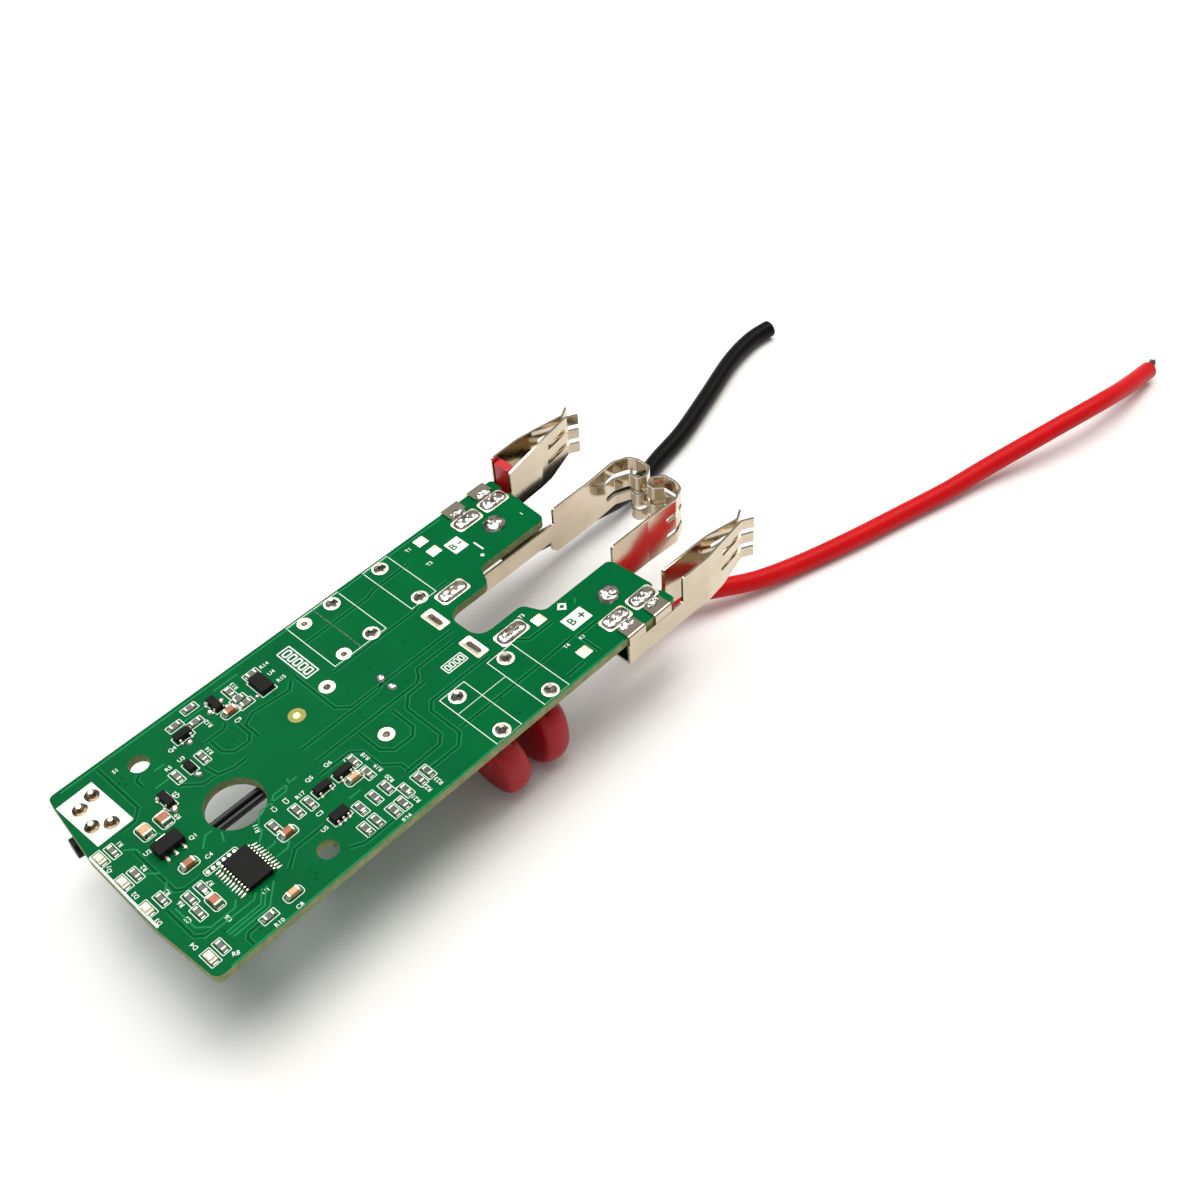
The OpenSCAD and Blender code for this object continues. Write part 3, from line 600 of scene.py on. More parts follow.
# copper under the lacquer: gaps between the pours, with the step of the copper at each side
gapSettings = {"width": 0.5, "step": 0.08, "height": 0.035}
gapRuns = [
    [(31.5, -3.3), (52.1, -3.3), (53.1, -2.6), (54.1, -1.1), (62.1, -1.1)],
    [(40.2, 12.6), (40.2, 2.7), (42, 0.8), (63.4, 0.8)],
    [(31.5, 0.2), (46.8, 0.2), (48.3, 0.8)],
    [(42.4, -17.4), (47.9, -17.4), (49.8, -15.6), (49.8, -9.1), (51.2, -7.7), (63.5, -7.7)],
    [(39.4, -4.2), (39.4, -8.8), (40.9, -10.6), (44.5, -10.7), (45.8, -9.4), (45.8, -4.5)],
    [(39.4, -15.1), (46.2, -15), (47.6, -13.7), (47.6, -5.9), (49.5, -4.1), (53.1, -4)],
    [(67.7, -7.4), (70.3, -10.2), (75.4, -10.3)], [(50.6, -15.1), (67.8, -15.2), (75.4, -15)],
    [(45.8, 16.7), (59.2, 16.7), (61.1, 17.4), (68.8, 17.4)],
    [(44.9, 8.5), (59.2, 8.5), (62.1, 8.5), (64.9, 9.4), (70.7, 9.4)],
    [(22.3, 12.5), (26, 12.5), (26.9, 13.2)],
    [(23.1, 12.1), (23.1, 9.2), (24.4, 7.7), (27.1, 7.6), (28.1, 8.6), (28.1, 12.3)],
    [(28.8, 7.3), (28.8, 10.6), (30.9, 11.7), (37.8, 10.9), (39.2, 12.3)],
    [(19.5, 8.7), (20, 6.1), (22.3, 5.3), (24.8, 5.3)],
    [(30, -5.7), (36.1, -5.8), (37.5, -7.2), (37.5, -11.2), (39.7, -13.5), (39.7, -15.1)],
    [(8.2, 20.9), (8.2, 10.2), (6.3, 8.5), (3.8, 8.5)],
    [(10.9, 12.8), (10.9, 14.4), (11.8, 15.1)], [(3.1, 4), (3.1, -5.9), (4.2, -6.8), (7.1, -6.8)],
    [(0.3, -7.8), (0.3, -14.1), (1.5, -15.2), (2.9, -15.3)],
    [(5.2, -21.4), (5.2, -20), (5.9, -19.4), (7.9, -19.4), (8.5, -20)],
    [(14.9, 8.8), (17.4, 6.3), (19.5, 6.2)], [(16.4, -15.4), (19.1, -13.3), (24.8, -13.3)],
    [(24.6, -19.1), (26.7, -20.2), (34.4, -20.2)], [(80.4, -15.6), (76, -15.6), (76, -20.4)],
    [(68.8, -20.2), (72.6, -20.2)],
]
traceSettings = {"width": 0.3, "height": 0.035}
traceRuns = [
    [(1.1, -15.5), (9.7, -15.7), (10.7, -14.9)], [(3.8, -17), (9.9, -17), (11.7, -15)],
    [(3.8, -17.6), (10.1, -17.6), (12.4, -15.1)], [(4, -18.3), (10.5, -18.3), (13.6, -15.3)],
    [(1.3, -8.4), (1.3, -13.1), (2.9, -14.7), (7.1, -14.7), (8, -13.7)],
    [(16.4, -10.3), (17.8, -10.3), (18.1, -9.9)],
    [(16.4, -8.5), (18, -7.1), (18, -6.1), (19.9, -4.2), (24.8, -4.2), (26.4, -2.8), (26.4, -2.3)],
    [(16.4, -12.4), (18.5, -12.4), (19.7, -11.4)], [(21.6, -4.8), (23.1, -3.3), (27.7, -3.3)],
    [(7.3, 4.6), (7.8, 2.7), (9.7, 2.3)], [(2.1, 5.6), (3.6, 4.1), (3.6, 3.1)],
    [(1.9, -0.3), (3.4, -1.9)], [(1.9, -5.1), (3.2, -3.8)], [(30.2, -12.4), (32.5, -12.4)],
    [(42.2, -17), (43.9, -17)], [(13.8, 14), (15.7, 13.9)], [(12, 11.1), (14.5, 11.1)],
    [(22.7, 18.4), (26.7, 18.4)], [(29.6, 19.9), (34.4, 19.9)], [(80.8, -10.3), (81.7, -9.3)],
    [(13, -4.5), (13.8, -2.8)], [(10.1, -3.2), (11.8, -1.5), (13, -1.5)],
]
edgeRuns = [[(1, -21.8), (57.3, -21.8), (80.2, -21.8)], [(1.9, 21.3), (47.8, 21.3), (79.8, 21.3)]]


def copperGap(run, settings):
    half, step, high = settings["width"] / 2, settings["step"], settings["height"]
    profile = [(-half - step * 2, 0), (-half - step, high), (-half, 0.004),
               (half, 0.004), (half + step, high), (half + step * 2, 0)]
    return strip(run, profile)


gaps = meshPiece("copperGaps", [copperGap(run, gapSettings) for run in gapRuns], "maskCopper")
# the middle one of a gap's five bands is the bare laminate's darker green
gaps.data.materials.append(finishes["maskDeep"])
middle = np.arange(len(gaps.data.polygons)) % 5 == 2
gaps.data.polygons.foreach_set("material_index", middle.astype(np.int32))
traces = [line(run, traceSettings["width"], traceSettings["height"]) for run in traceRuns + edgeRuns]
meshPiece("copperTraces", traces, "maskCopper")

viaSettings = {"inner": 0.1, "outer": 0.24, "height": 0.03, "steps": 14}
viaPlaces = [
    (9.4, 15.2), (9.8, 16.7), (8.8, 16.1), (7.4, -20.2), (18.5, -18.9), (18.4, -17.7), (17.9, -19.6),
    (58.6, -15.6), (58.6, -19.9), (53.6, -15.7), (56.7, 4.7), (49.3, 4.9), (38.8, 17.1), (45.2, -6.4),
    (40.9, -9.7), (3.8, -16.7), (13.9, -14.5), (82.1, -8.9), (86, -8.9), (89.8, -9.4), (78.4, -15.5),
    (51.4, -1.8), (12, 9.6), (24.3, 9), (25.8, 9.8), (34.2, -3), (23.5, -17.3), (35.8, 12), (18, -13.7),
]
vias = [ring(x, y, **viaSettings) for x, y in viaPlaces]
meshPiece("tentedVias", vias, "maskDeep")
print("stage: copper")

# bare tinned pads: squares as x, y, width and length, rings as x, y, inner and outer radius
padSettings = {
    "height": 0.045, "corner": 0.2, "ringHeight": 0.05, "wallGap": 0.03,
    "squares": [(73.9, 19.8, 2.2, 2.0), (73.9, 16.4, 2.2, 2.0), (74.3, -8.3, 2.2, 2.0),
                (74.2, -18.7, 2.2, 2.0)],
    "rings": [(42.2, 6.9, 0.62, 1.38), (42.1, -7.4, 0.62, 1.38), (48.5, 20.2, 0.52, 1.3),
              (48.5, 10.2, 0.52, 1.3)],
    "dots": {"first": 8.2, "pitch": 0.96, "y": -6.9, "radius": 0.34, "count": 6},
}
slotSettings = {"x": 63.3, "y": 4.55, "pad": (2.5, 4.9), "slot": (0.98, 3.18), "corner": 0.35}


def slotPad(y, height, settings):
    # a rounded rectangle with an oval slot in it, plated through the board
    x, slot = settings["x"], settings["slot"]
    outer = roundRect(x, y, *settings["pad"], settings["corner"], steps=6)
    inner = roundRect(x, y, *slot, slot[0] * 0.499, steps=6)
    rings = [atLevel(outer, 0.0), atLevel(outer * 0.95 + 0.05 * inner, height),
             atLevel(inner * 0.92 + 0.08 * outer, height), atLevel(inner, height * 0.3),
             atLevel(inner, -boardDeep)]
    return np.vstack(rings), ringFaces(len(rings), len(outer))


def barrel(x, y, inner, gap):
    # the plated wall of a hole
    flat = circle(x, y, inner - gap, 20)
    count = len(flat)
    wall = np.vstack([atLevel(flat, gap), atLevel(flat, -boardDeep)])
    return wall, [[i, i + count, (i + 1) % count + count, (i + 1) % count] for i in range(count)]


pads = [cushion(roundRect(*square, padSettings["corner"]), padSettings["height"])
        for square in padSettings["squares"]]
pads += [ring(*place, padSettings["ringHeight"]) for place in padSettings["rings"]]
dots = padSettings["dots"]
for step in range(dots["count"]):
    dot = circle(dots["first"] + dots["pitch"] * step, dots["y"], dots["radius"], 16)
    pads.append(cushion(dot, padSettings["height"]))
for side in (1, -1):
    pads.append(slotPad(side * slotSettings["y"], padSettings["ringHeight"], slotSettings))
pads += [barrel(x, y, inner, padSettings["wallGap"]) for x, y, inner, outer in padSettings["rings"]]
meshPiece("tinnedPads", pads, "tin")
fiducialX, fiducialY = 35.3, 6
clearing = cushion(circle(fiducialX, fiducialY, 1.45), 0.006, 0.05)
meshPiece("fiducialClearing", [clearing], "bareLaminate")
meshPiece("fiducial", [cushion(circle(fiducialX, fiducialY, 0.62), 0.04, 0.15)], "gold")
print("stage: pads")

# printed marks
printed = [filled(3.15, 14.2, 6.5, 10.6, turn=1.5), boxed(42.4, 14.5, 2.5, 7.5, 0.1, stroke=0.24),
           boxed(58.9, -4.7, 1.9, 4.2, 0.1, 90, 0.2), filled(77.3, 14.5, 3.0, 3.2),
           filled(78.5, -12.8, 4.5, 3.1)]
printed += [boxed(42.4, 11.8 + 1.35 * step, 1.5, 0.85, 0.2, stroke=0.3) for step in range(5)]
printed += [boxed(57.5 + 0.95 * step, -4.7, 0.6, 1.1, 0.15, stroke=0.22) for step in range(4)]
capMarks = [((45.8, 9.2), (51.4, 21.6)), ((51.4, 9.2), (56.7, 21.6)), ((62.3, 9.2), (67.7, 21.6)),
            ((52, -21.7), (57.2, -8.7)), ((62.3, -21.7), (67.7, -8.7))]
for low, high in capMarks:
    printed.append(line([low, (high[0], low[1]), high, (low[0], high[1])], 0.15, inkHeight, True))
printed.append(line([(52, -12.9), (62.3, -12.9)], 0.12, inkHeight))
printed.append(line([(79.7, 10.3), (79.7, 12.7)], 0.35, inkHeight))
printed.append(line([(78.1, -9.1), (78.9, -8.4), (79.6, -9.1), (78.9, -9.9)], 0.4, inkHeight, True))
printed.append(line([(-2.2, -9.1), (-2.1, -1.3), (-1.9, 8.1)], 0.4, 0.012))
printed.append(cushion(circle(78.6, 9.4, 0.35), inkHeight, inkEdge))
# plain designators: x, y, turn and text
designatorSize = 1.05
designators = (
    (15.6, 12.7, 0, "R5"), (18, 12.7, 0, "U3"), (13.4, 7.8, 90, "Q2"), (2.5, 6.8, 90, "R1"),
    (11.2, 4.4, 90, "R9"), (4.3, 2.4, 0, "U2"), (2.4, 0.6, 90, "R2"), (10.5, -0.3, 0, "Q1"),
    (2.2, -5.3, 90, "R3"), (10, -4.8, 0, "C4"), (2.3, -8.4, 90, "R6"), (7.3, -8.7, 90, "R7"),
    (1.4, -11.3, 90, "C5"), (11.8, -15.8, 0, "U1"), (-0.6, -15.4, 90, "D4"), (5.4, -15.4, 90, "C6"),
    (2.6, -20.7, -25, "R8"), (9.8, -21.4, 0, "R10"), (13.5, -21.4, 0, "C8"), (17.7, -6.2, 70, "R11"),
    (18.2, 15.3, 0, "Q4"), (25.1, 15.2, 90, "R12"), (32.5, 18.3, 90, "R13"), (38.4, 18.1, 0, "R14"),
    (38.2, 16, 0, "U4"), (38.5, 13.8, 0, "R15"), (28.6, 12.2, 0, "C9"), (21.9, 10.8, 90, "R16"),
    (21.6, -5.4, 90, "C1"), (23.7, -5.6, 90, "C2"), (25.8, -6.4, 0, "R17"), (28.6, -5.1, 0, "Q5"),
    (32.3, -5, 0, "Q6"), (37.1, -8.2, 90, "R18"), (37, -11.3, 90, "R19"), (25.6, -11.2, 0, "C3"),
    (24.3, -13.9, 0, "U5"), (36.8, -14.1, 90, "R20"), (36.9, -19.9, 90, "R21"), (39.4, -19.7, 90, "R22"),
    (41.4, -20, 90, "R23"), (33.7, -21.5, 0, "R24"), (71.1, 19.8, 0, "T1"), (71.3, 14.7, 0, "T2"),
    (90, 11.5, 0, "1"), (73, -5.7, 0, "T3"), (73.2, -15.8, 0, "T4"), (76.2, -16.3, 0, "K1"),
    (9.9, 18.5, 0, "S1"), (-1.2, -2.3, 90, "D2"), (-1.6, -8.4, 90, "D3"), (-1.1, 4.3, 60, "D1"),
)
printed += [lettering(text, x, y, designatorSize, turn) for x, y, turn, text in designators]
printed.append(boxed(10.6, -6.9, 5.9, 1.15, 0.3))
meshPiece("printedMarks", printed, "ink")
# the polarity marks, left green in the printed patches
knockedOut = [lettering("B", 76.6, 14.5, 2.1, 0, 0.03), line([(77.7, 14.5), (78.5, 14.5)], 0.36, 0.03),
              lettering("B", 77.5, -12.8, 2.3, 0, 0.03), line([(79, -12.8), (80.3, -12.8)], 0.36, 0.03),
              line([(79.65, -13.45), (79.65, -12.15)], 0.36, 0.031)]
meshPiece("markLetters", knockedOut, "mask")
print("stage: printed marks")


# solder and small parts
def lumps(x, y, seed):
    # a smooth uneven field of about -1 to 1, different for each seed: a broad wave and a closer, weaker one
    broad = np.sin(2.1 * x + 1.7 * seed) * np.cos(1.8 * y - 0.9 * seed)
    close = np.sin(3.7 * y + 2.3 * x + 3.1 * seed)
    return (broad + 0.6 * close) / 1.6


def blob(x, y, wide, long, height, turn=0.0, seed=0.0, fall=0.55, rough=0.12, around=20, rows=6, base=0.0):
    # a drop of solder: an oval whose height is one less the squared radius, to the power fall
    angle = fullTurn(around)
    points = []
    for row in range(rows):
        out = 1 - row / rows
        reach = out * (1 + 0.08 * np.sin(2 * angle + seed) * out)
        flat = np.column_stack([wide / 2 * reach * np.cos(angle), long / 2 * reach * np.sin(angle)])
        uneven = 1 + rough * lumps(1.1 * flat[:, 0], 1.1 * flat[:, 1], seed)
        rise = height * (1 - out ** 2) ** fall * uneven
        points.append(np.column_stack([turned(flat, x, y, turn), base + rise]))
    points.append(np.array([[x, y, base + height]]))
    last = (rows - 1) * around
    tip = [[last + i, last + (i + 1) % around, rows * around] for i in range(around)]
    return np.vstack(points), ringFaces(rows, around) + tip


jointSettings = {
    "around": 28, "waist": 0.52, "leg": 0.26,
    # radius and height out of the pad's and the joint's, from the rim to the cut end of the leg
    "profile": ((1.0, 0.0), (0.97, 0.05), (0.84, 0.09), (0.68, 0.2), (0.52, 0.42), (0.4, 0.7), (0.33, 0.9),
                (0.3, 1.0), (0.26, 1.12), (0.16, 1.22), (0.06, 1.25)),
}


def joint(x, y, pad, pin, height, seed, lean, settings):
    # a hollow cone of solder from the pad's rim up to the cut end of a leg, uneven in its middle
    around, waist, leg, profile = (settings[key] for key in ("around", "waist", "leg", "profile"))
    angle = fullTurn(around)
    points = []
    for out, rise in profile:
        radius = pin * out / leg
        if out > 0.5:
            radius = pad * out
        elif out >= leg:
            radius = pin + (pad * waist - pin) * (out - leg) / leg
        pull = 0.07 if 0.3 < out < 0.9 else 0.02
        sag = 0.12 if 0.1 < rise < 0.95 else 0.02
        radius = radius * (1 + pull * np.sin(2 * angle + seed) + 0.03 * np.sin(5 * angle + 2 * seed))
        up = height * rise * (1 + sag * np.sin(angle * 3 + seed * 1.7))
        points.append(np.column_stack([x + radius * np.cos(angle) + lean[0] * rise,
                                       y + radius * np.sin(angle) + lean[1] * rise, up]))
    top = [(len(profile) - 1) * around + i for i in range(around)]
    return np.vstack(points), ringFaces(len(profile), around) + [top]


def solderBar(x, y, wide, long, height, seed):
    # a poured strip of solder with rounded ends and an uneven top
    across, along = 18, 10
    u, v = np.meshgrid(np.linspace(-1, 1, across), np.linspace(-1, 1, along), indexing="ij")
    edge = (1 - np.abs(u) ** 4) * (1 - np.abs(v) ** 3)
    left = x + u * (1 - 0.14 * np.abs(v) ** 3) * wide / 2
    near = y + v * (1 - 0.3 * np.abs(u) ** 5) * long / 2
    rise = height * edge ** 0.6 * (1 + 0.35 * lumps(x + u * wide, y + v * long, seed))
    return np.column_stack([left.ravel(), near.ravel(), rise.ravel()]), gridFaces(across, along)


def block(x, y, low, high, wide, long, turn=0.0):
    # a plain box on the board, for the bevel to round
    half, deep = wide / 2, long / 2
    flat = turned([(-half, -deep), (half, -deep), (half, deep), (-half, deep)], x, y, turn)
    points = np.vstack([atLevel(flat, low), atLevel(flat, high)])
    return points, [[3, 2, 1, 0], [4, 5, 6, 7], [0, 1, 5, 4], [1, 2, 6, 5], [2, 3, 7, 6], [3, 0, 4, 7]]


def wedge(x, y, start, wide, out, height, turn):
    # the solder that climbs a terminal, start away from the part's middle: it rises in a hollow curve
    t = np.linspace(0, 1, 6)
    half = wide / 2 * (1 - 0.12 * t)
    rise = 0.02 + (height - 0.02) * (1 - t) ** 2.2
    points = np.vstack([np.column_stack([side * half, start + t * out, level]) for side, level in
                        ((-1, 0 * t), (-0.92, rise), (0.92, rise), (1, 0 * t))])
    points = np.column_stack([turned(points[:, :2], x, y, turn), points[:, 2]])
    count = len(t)
    ends = [[0, 3 * count, 2 * count, count], [count - 1, 2 * count - 1, 3 * count - 1, 4 * count - 1]]
    return points, gridFaces(4, count) + ends


def islands(node):
    # the middle and the size of each separate solid of a CAD node, in board millimetres
    work = bmesh.new()
    work.from_mesh(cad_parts[node].data)
    bmesh.ops.remove_doubles(work, verts=work.verts, dist=weldGap * mm)
    left, found = set(work.verts), []
    while left:
        queue, some = [left.pop()], []
        while queue:
            vert = queue.pop()
            some.append(vert.co[:])
            for edge in vert.link_edges:
                other = edge.other_vert(vert)
                if other in left:
                    left.remove(other)
                    queue.append(other)
        some = toBoard(some)
        found.append((some.min(0), some.max(0)))
    work.free()
    found.sort(key=lambda pair: (round(pair[0][0], 2), round(pair[0][1], 2)))
    return [((low + high) / 2, high - low) for low, high in found]


def turnOf(middle, size, caps):
    # which way a chip lies, by where its end caps are: 0 along Y, 90 along X
    reach = np.maximum(size[:2] / 2 + 0.2, 0.3) + 0.2
    for cap, _ in caps:
        gap = np.abs(cap[:2] - middle[:2])
        if gap[0] < 0.1 and gap[1] < reach[1]:
            return 0.0
        if gap[1] < 0.1 and gap[0] < reach[0]:
            return 90.0
    return 0.0


chipSettings = {"ends": 0.3, "fillet": 0.34, "room": (0.72, 1.15), "lift": 0.02, "glaze": 0.07,
                "corner": {"chip_resistors": 0.12, "chip_capacitors": 0.55}}


def dressChips(settings):
    # resistors have a pale substrate and a dark glaze, capacitors a brown body; both have soldered end caps
    caps = islands("chip_end_caps")
    endCap, lift, glazeDeep = settings["ends"], settings["lift"], settings["glaze"]
    substrates, glazes, fillets, outlines, ends = [], [], [], [], []
    bodies = {"ceramic": [], "ceramicPale": []}
    for node, corner in settings["corner"].items():
        for index, (middle, size) in enumerate(islands(node)):
            turn = turnOf(middle, size, caps)
            wide, long = (size[0], size[1]) if turn == 0 else (size[1], size[0])
            whole = long + 2 * endCap
            top = middle[2] + size[2] / 2
            x, y = middle[:2]
            if node == "chip_resistors":
                substrates.append(block(x, y, lift, top - glazeDeep, wide - 0.02, whole - 0.02, turn))
                glazes.append(block(x, y, top - glazeDeep, top - 0.01, wide - 0.08, long + 0.06, turn))
            else:
                kind = "ceramicPale" if index % 3 == 1 else "ceramic"
                bodies[kind].append(block(x, y, lift, top + 0.01, wide - 0.02, whole - 0.04, turn))
            rim, climb = whole / 2 - 0.02, top * 0.72
            for way in (turn, turn + 180):
                fillets.append(wedge(x, y, rim, wide + 0.04, settings["fillet"], climb, way))
                capX, capY = turned([(0, whole / 2 - endCap / 2)], x, y, way)[0]
                ends.append(block(capX, capY, 0, top + 0.02, wide + 0.02, endCap, turn))
            sideRoom, endRoom = settings["room"]
            outlines.append(boxed(x, y, wide + sideRoom, whole + endRoom, corner, turn))
    meshPiece("resistorSubstrates", substrates, "alumina", bevel=0.03)
    meshPiece("resistorGlaze", glazes, "film", replaces=("chip_resistors",), bevel=0.02)
    for finish, parts in bodies.items():
        meshPiece("chipCapacitors_" + finish, parts, finish, bevel=0.06)
    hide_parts("chip_capacitors")
    meshPiece("chipEnds", ends, "tin", replaces=("chip_end_caps",), bevel=0.06)
    meshPiece("chipFillets", fillets, "solder")
    return outlines


ledSettings = {"body": 0.36, "top": 0.72, "inset": 0.1, "lens": 0.62, "room": (0.55, 1.0), "fillet": 0.3}


def dressLights(settings):
    # a cream body with a raised lens and a fillet at each end
    bodies, lenses, ends, outlines = [], [], [], []
    for (x, y, _), (wide, long, high) in islands("status_leds"):
        if high <= 0.3:
            continue
        bodies.append(block(x, y, 0.02, settings["body"], wide, long))
        lenses.append(block(x, y, settings["body"], settings["top"], wide - settings["inset"],
                            long * settings["lens"]))
        for way in (0, 180):
            ends.append(wedge(x, y, long / 2 - 0.02, wide * 0.9, settings["fillet"], 0.25, way))
        outlines.append(boxed(x, y, wide + settings["room"][0], long + settings["room"][1], 0.1))
    meshPiece("ledBodies", bodies, "lens", bevel=0.05)
    meshPiece("ledLenses", lenses, "lens", replaces=("status_leds",), bevel=0.14)
    meshPiece("ledFillets", ends, "solder")
    return outlines


outlines = dressChips(chipSettings) + dressLights(ledSettings)
for (x, y, _), (wide, long, _) in islands("transistor_bodies"):
    outlines.append(boxed(x, y, wide + 0.5, long + 0.5, 0.1, stroke=0.15))
meshPiece("partOutlines", outlines, "ink")

# solder on the gull leads' feet: width, length and height of each drop
footSettings = {"transistor_leads": (0.62, 0.75, 0.22), "regulator_leads": (0.75, 1.25, 0.3)}
footBlobs = []
for node, (wide, long, height) in footSettings.items():
    for index, (middle, _) in enumerate(islands(node)):
        footBlobs.append(blob(*middle[:2], wide, long, height, 0, index))
# larger drops beside the small parts: x, y and width
spots = [(11.7, 6, 1.5), (20.9, 14.5, 1.1), (26.7, 16.9, 1.1), (29.3, 17.5, 0.9), (29.2, 15.8, 1),
         (30.2, -14.6, 0.9), (30.2, -15.8, 0.9), (36.9, -17, 0.9), (36.9, -18.3, 0.9), (28.3, -17.8, 0.9),
         (28.3, -19.2, 0.9), (33.6, 13.8, 0.7), (18, 8.5, 1.2)]
for index, (x, y, size) in enumerate(spots):
    footBlobs.append(blob(x, y, size, size * 1.15, size * 0.32, 20 * index, index))
(chipX, chipY, _), _ = islands("controller_body")[0]
for (x, y, _), _ in islands("controller_leads"):
    side = 1 if x > chipX else -1
    footBlobs.append(blob(x + side * 0.55, y, 1.25, 0.36, 0.1, 0, y, around=12, rows=4))
meshPiece("footSolder", footBlobs, "solder")
pinMark = ring(chipX - 1.5, chipY + 2.5, 0.22, 0.34, 0.012, 1.1, 20)
meshPiece("chipMark", [pinMark], "blackPlastic")
print("stage: chips")

# solder on the through legs: pad radius, leg radius and height of each cone
switchEnd = 10
switchJoint, capacitorJoint = (1.22, 0.42, 0.62), (1.16, 0.4, 0.85)
legJoints, switchJoints, legPads = [], [], []
for index, ((x, y, _), _) in enumerate(islands("leg_solder")):
    lean = (0.05 * math.sin(index), 0.06 * math.cos(2 * index))
    if x < switchEnd:
        switchJoints.append(joint(x, y, *switchJoint, 1.3 * index, lean, jointSettings))
    else:
        legJoints.append(joint(x, y, *capacitorJoint, 1.3 * index, lean, jointSettings))
        legPads.append(ring(x, y, 0.9, 1.48, 0.05))
meshPiece("legPads", legPads, "tin")
# the capacitor leg joints take the finish whose dark mottle is painted reflection
meshPiece("legJoints", legJoints, "fluxAndPaintedReflection", replaces=("leg_solder",), smooth=60)
meshPiece("switchJoints", switchJoints, "brownFlux", smooth=60)

# a broad dome over each main wire, with two smaller runs on it
domes = []
for index, wire in enumerate(wires.values()):
    x, y = wire["run"][0][:2]
    domes.append(blob(x, y, 3.9, 4.1, 0.9, 0, index + 1, fall=0.42, rough=0.16, around=36, rows=12))
    domes.append(blob(x + 0.5, y - 0.5, 1.9, 1.7, 0.4, 30, index + 4, around=24, rows=8, base=0.68))
    domes.append(blob(x - 0.45, y + 0.55, 1.5, 1.6, 0.32, 60, index + 6, around=24, rows=8, base=0.7))
# the wire domes take the poured solder finish, with its painted dark reflection
meshPiece("wireJoints", domes, "domes", replaces=("wire_solder",), smooth=60)
senseBlobs = [blob(x, y, 1.5, 1.7, 0.5, 20, x + y, around=24, rows=8) for x, y in ((49, 1.8), (49, -0.9))]
meshPiece("senseJoints", senseBlobs, "solder", replaces=("sense_solder",), smooth=60)

# solder over the contacts' legs, a little past the CAD strips, each on a pad
barSettings = {"wide": 1.12, "long": 1.3, "height": 0.55, "rim": 0.28, "corner": 0.7}
bars, barPads = [], []
for index, ((x, y, _), size) in enumerate(islands("contact_solder")):
    wide, long = size[:2] * (barSettings["wide"], barSettings["long"])
    bars.append(solderBar(x, y, wide, long, barSettings["height"], index * 1.9))
    rim = barSettings["rim"]
    barPads.append(cushion(roundRect(x, y, wide + rim, long + rim, barSettings["corner"], steps=6), 0.05))
meshPiece("contactPads", barPads, "tin")
# solder that runs from the outer contacts' leg joints onto their folded tabs
for side in (1, -1):
    for x in (82.7, 88.9):
        bars.append(solderBar(x, side * 20, 3.5, 1.9, 0.62, x + side))
# the contact bars share the poured solder finish and its painted dark reflection
meshPiece("contactBars", bars, "domes", replaces=("contact_solder",), smooth=60)
print("stage: solder")

# dipped capacitors
dipSettings = {
    "wide": 13.2, "thick": 5.3, "high": 15.4, "around": 56, "rows": 22, "ripple": 0.05,
    "gap": 2.6, "offCentre": 15.2, "legs": (-5, 5),
    # resin run down each leg, as radii from the body outwards
    "neck": (1.5, 1.35, 1.1, 0.82, 0.62, 0.5, 0.43),
}


def dippedRows(settings):
    # rings of a coin of resin, round below and shouldered above; its outline is a circle below
    # and a cubic superellipse above, and the rings draw in towards its two faces
    radius, half, high = settings["wide"] / 2, settings["thick"] / 2, settings["high"]
    angle = fullTurn(settings["around"])
    across, up = np.cos(angle), np.sin(angle)
    square = np.where(up > 0, 3.0, 2.0)
    reach = (np.abs(across) ** square + np.abs(up) ** square) ** (-1 / square)
    outlineY = radius * across * reach
    outlineZ = np.where(up > 0, high - radius, radius) * up * reach
    lift = np.linspace(-math.pi / 2, math.pi / 2, settings["rows"] + 1)[1:-1]
    rows = []
    for bend in lift:
        x = half * np.sign(bend) * np.abs(np.sin(bend)) ** 1.15
        scale = 1 - half * 0.95 / radius * (1 - np.cos(bend) ** 0.5)
        rows.append(np.column_stack([np.full(len(angle), x), outlineY * scale, radius + outlineZ * scale]))
    return rows


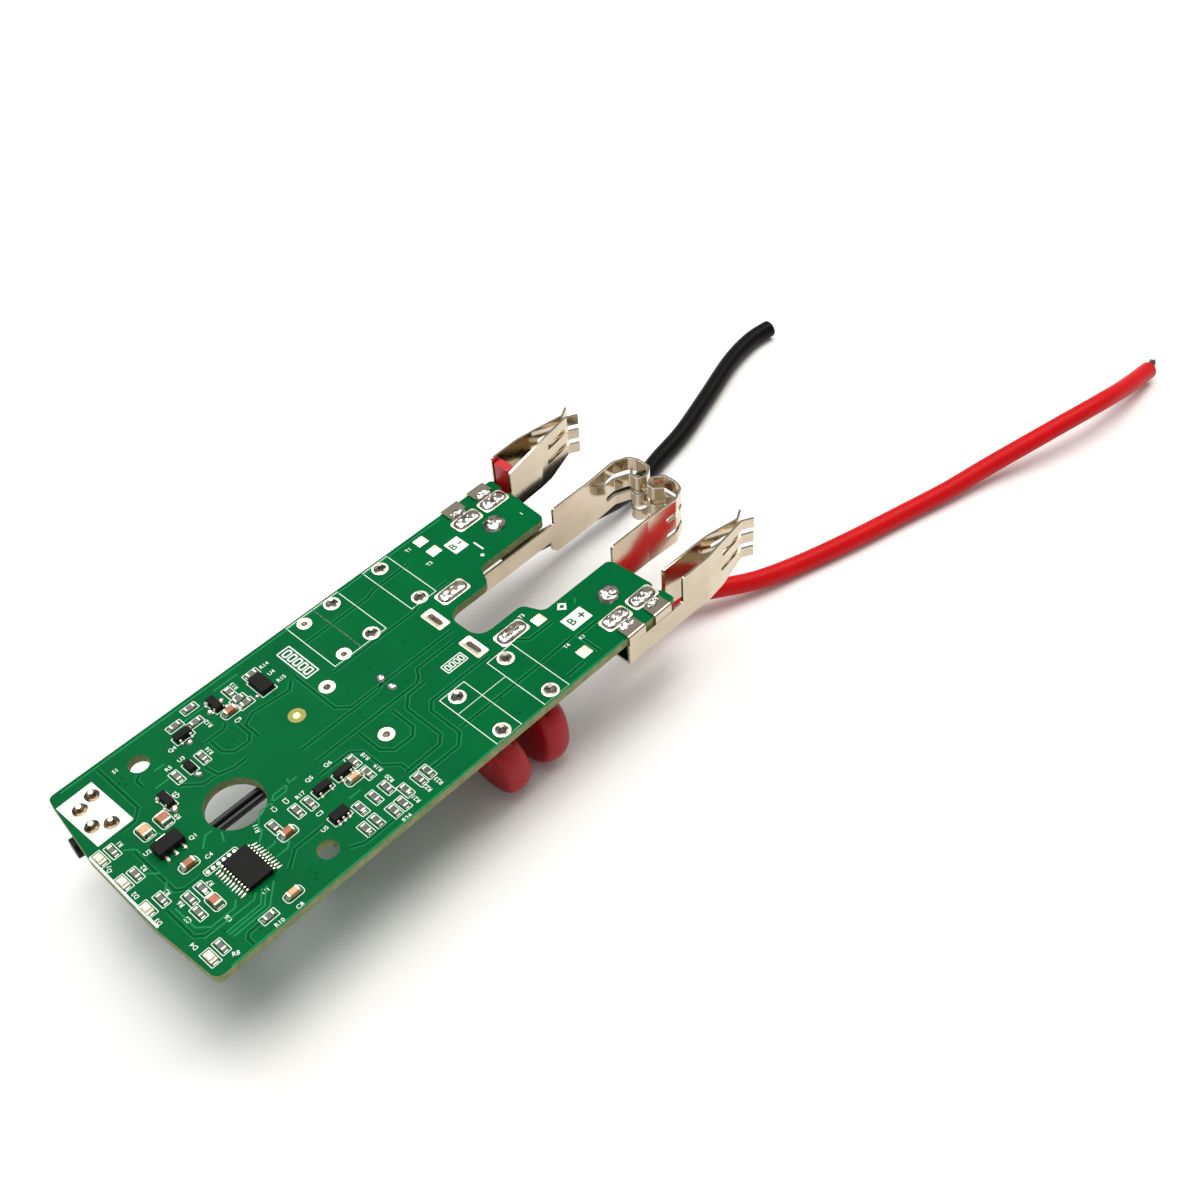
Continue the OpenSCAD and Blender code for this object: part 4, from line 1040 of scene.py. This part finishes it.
def dippedBody(settings, seed):
    rows = dippedRows(settings)
    around, half = settings["around"], settings["thick"] / 2
    centre = np.array([0, 0, settings["wide"] / 2])
    last = rows[-1][:, 0].mean()
    inner = []
    for step in (0.8, 0.55, 0.25):
        face = centre + (rows[-1] - centre) * step
        face[:, 0] = last + (half - last) * (1 - step ** 2)
        inner.append(face)
    mirrored = [np.column_stack([-face[:, 0], face[:, 1:]]) for face in inner]
    rows = mirrored[::-1] + rows + inner
    points = np.vstack(rows)
    ripple = (lumps(points[:, 1] * 0.7, points[:, 2] * 0.7, seed) - 1) * settings["ripple"]
    out = points - centre
    out /= np.linalg.norm(out, axis=1)[:, None]
    points = np.vstack([points + out * ripple[:, None], centre - (half, 0, 0), centre + (half, 0, 0)])
    count = len(rows)
    first, end = count * around, (count - 1) * around
    faces = [face[1:] + face[:1] for face in ringFaces(count, around)]
    faces += [[first, (i + 1) % around, i] for i in range(around)]
    faces += [[first + 1, end + i, end + (i + 1) % around] for i in range(around)]
    return points, faces


def dippedCapacitor(node, x, side, lean, settings):
    # hung under the board by its legs, and leaning by so many degrees about the board's underside
    high = settings["high"]
    parts = [dippedBody(settings, 1.7 * x + side)]
    for end in settings["legs"]:
        heights = np.linspace(high - 1.2, high + 1.1, len(settings["neck"]))
        parts.append(tube([(0, end * 0.98, z) for z in heights], settings["neck"], 14))
    tilt = math.radians(-lean)
    placed = []
    for points, faces in parts:
        points = np.asarray(points) - (0, 0, settings["gap"] + high)
        across, along, up = points.T
        swung = np.column_stack([across * math.cos(tilt) + up * math.sin(tilt), along,
                                 up * math.cos(tilt) - across * math.sin(tilt)])
        placed.append((swung + (x, side * settings["offCentre"], -boardDeep), faces))
    meshPiece(node + "_dipped", placed, "dip", replaces=(node,), smooth=80)


for node, x, side, lean in (("capacitor_right_far", 65, -1, 0), ("capacitor_right_near", 54.4, -1, 9.5),
                            ("capacitor_left_far", 65, 1, 0), ("capacitor_left_near", 54.4, 1, 0)):
    dippedCapacitor(node, x, side, lean, dipSettings)
print("stage: dipped capacitors")

low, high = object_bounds()
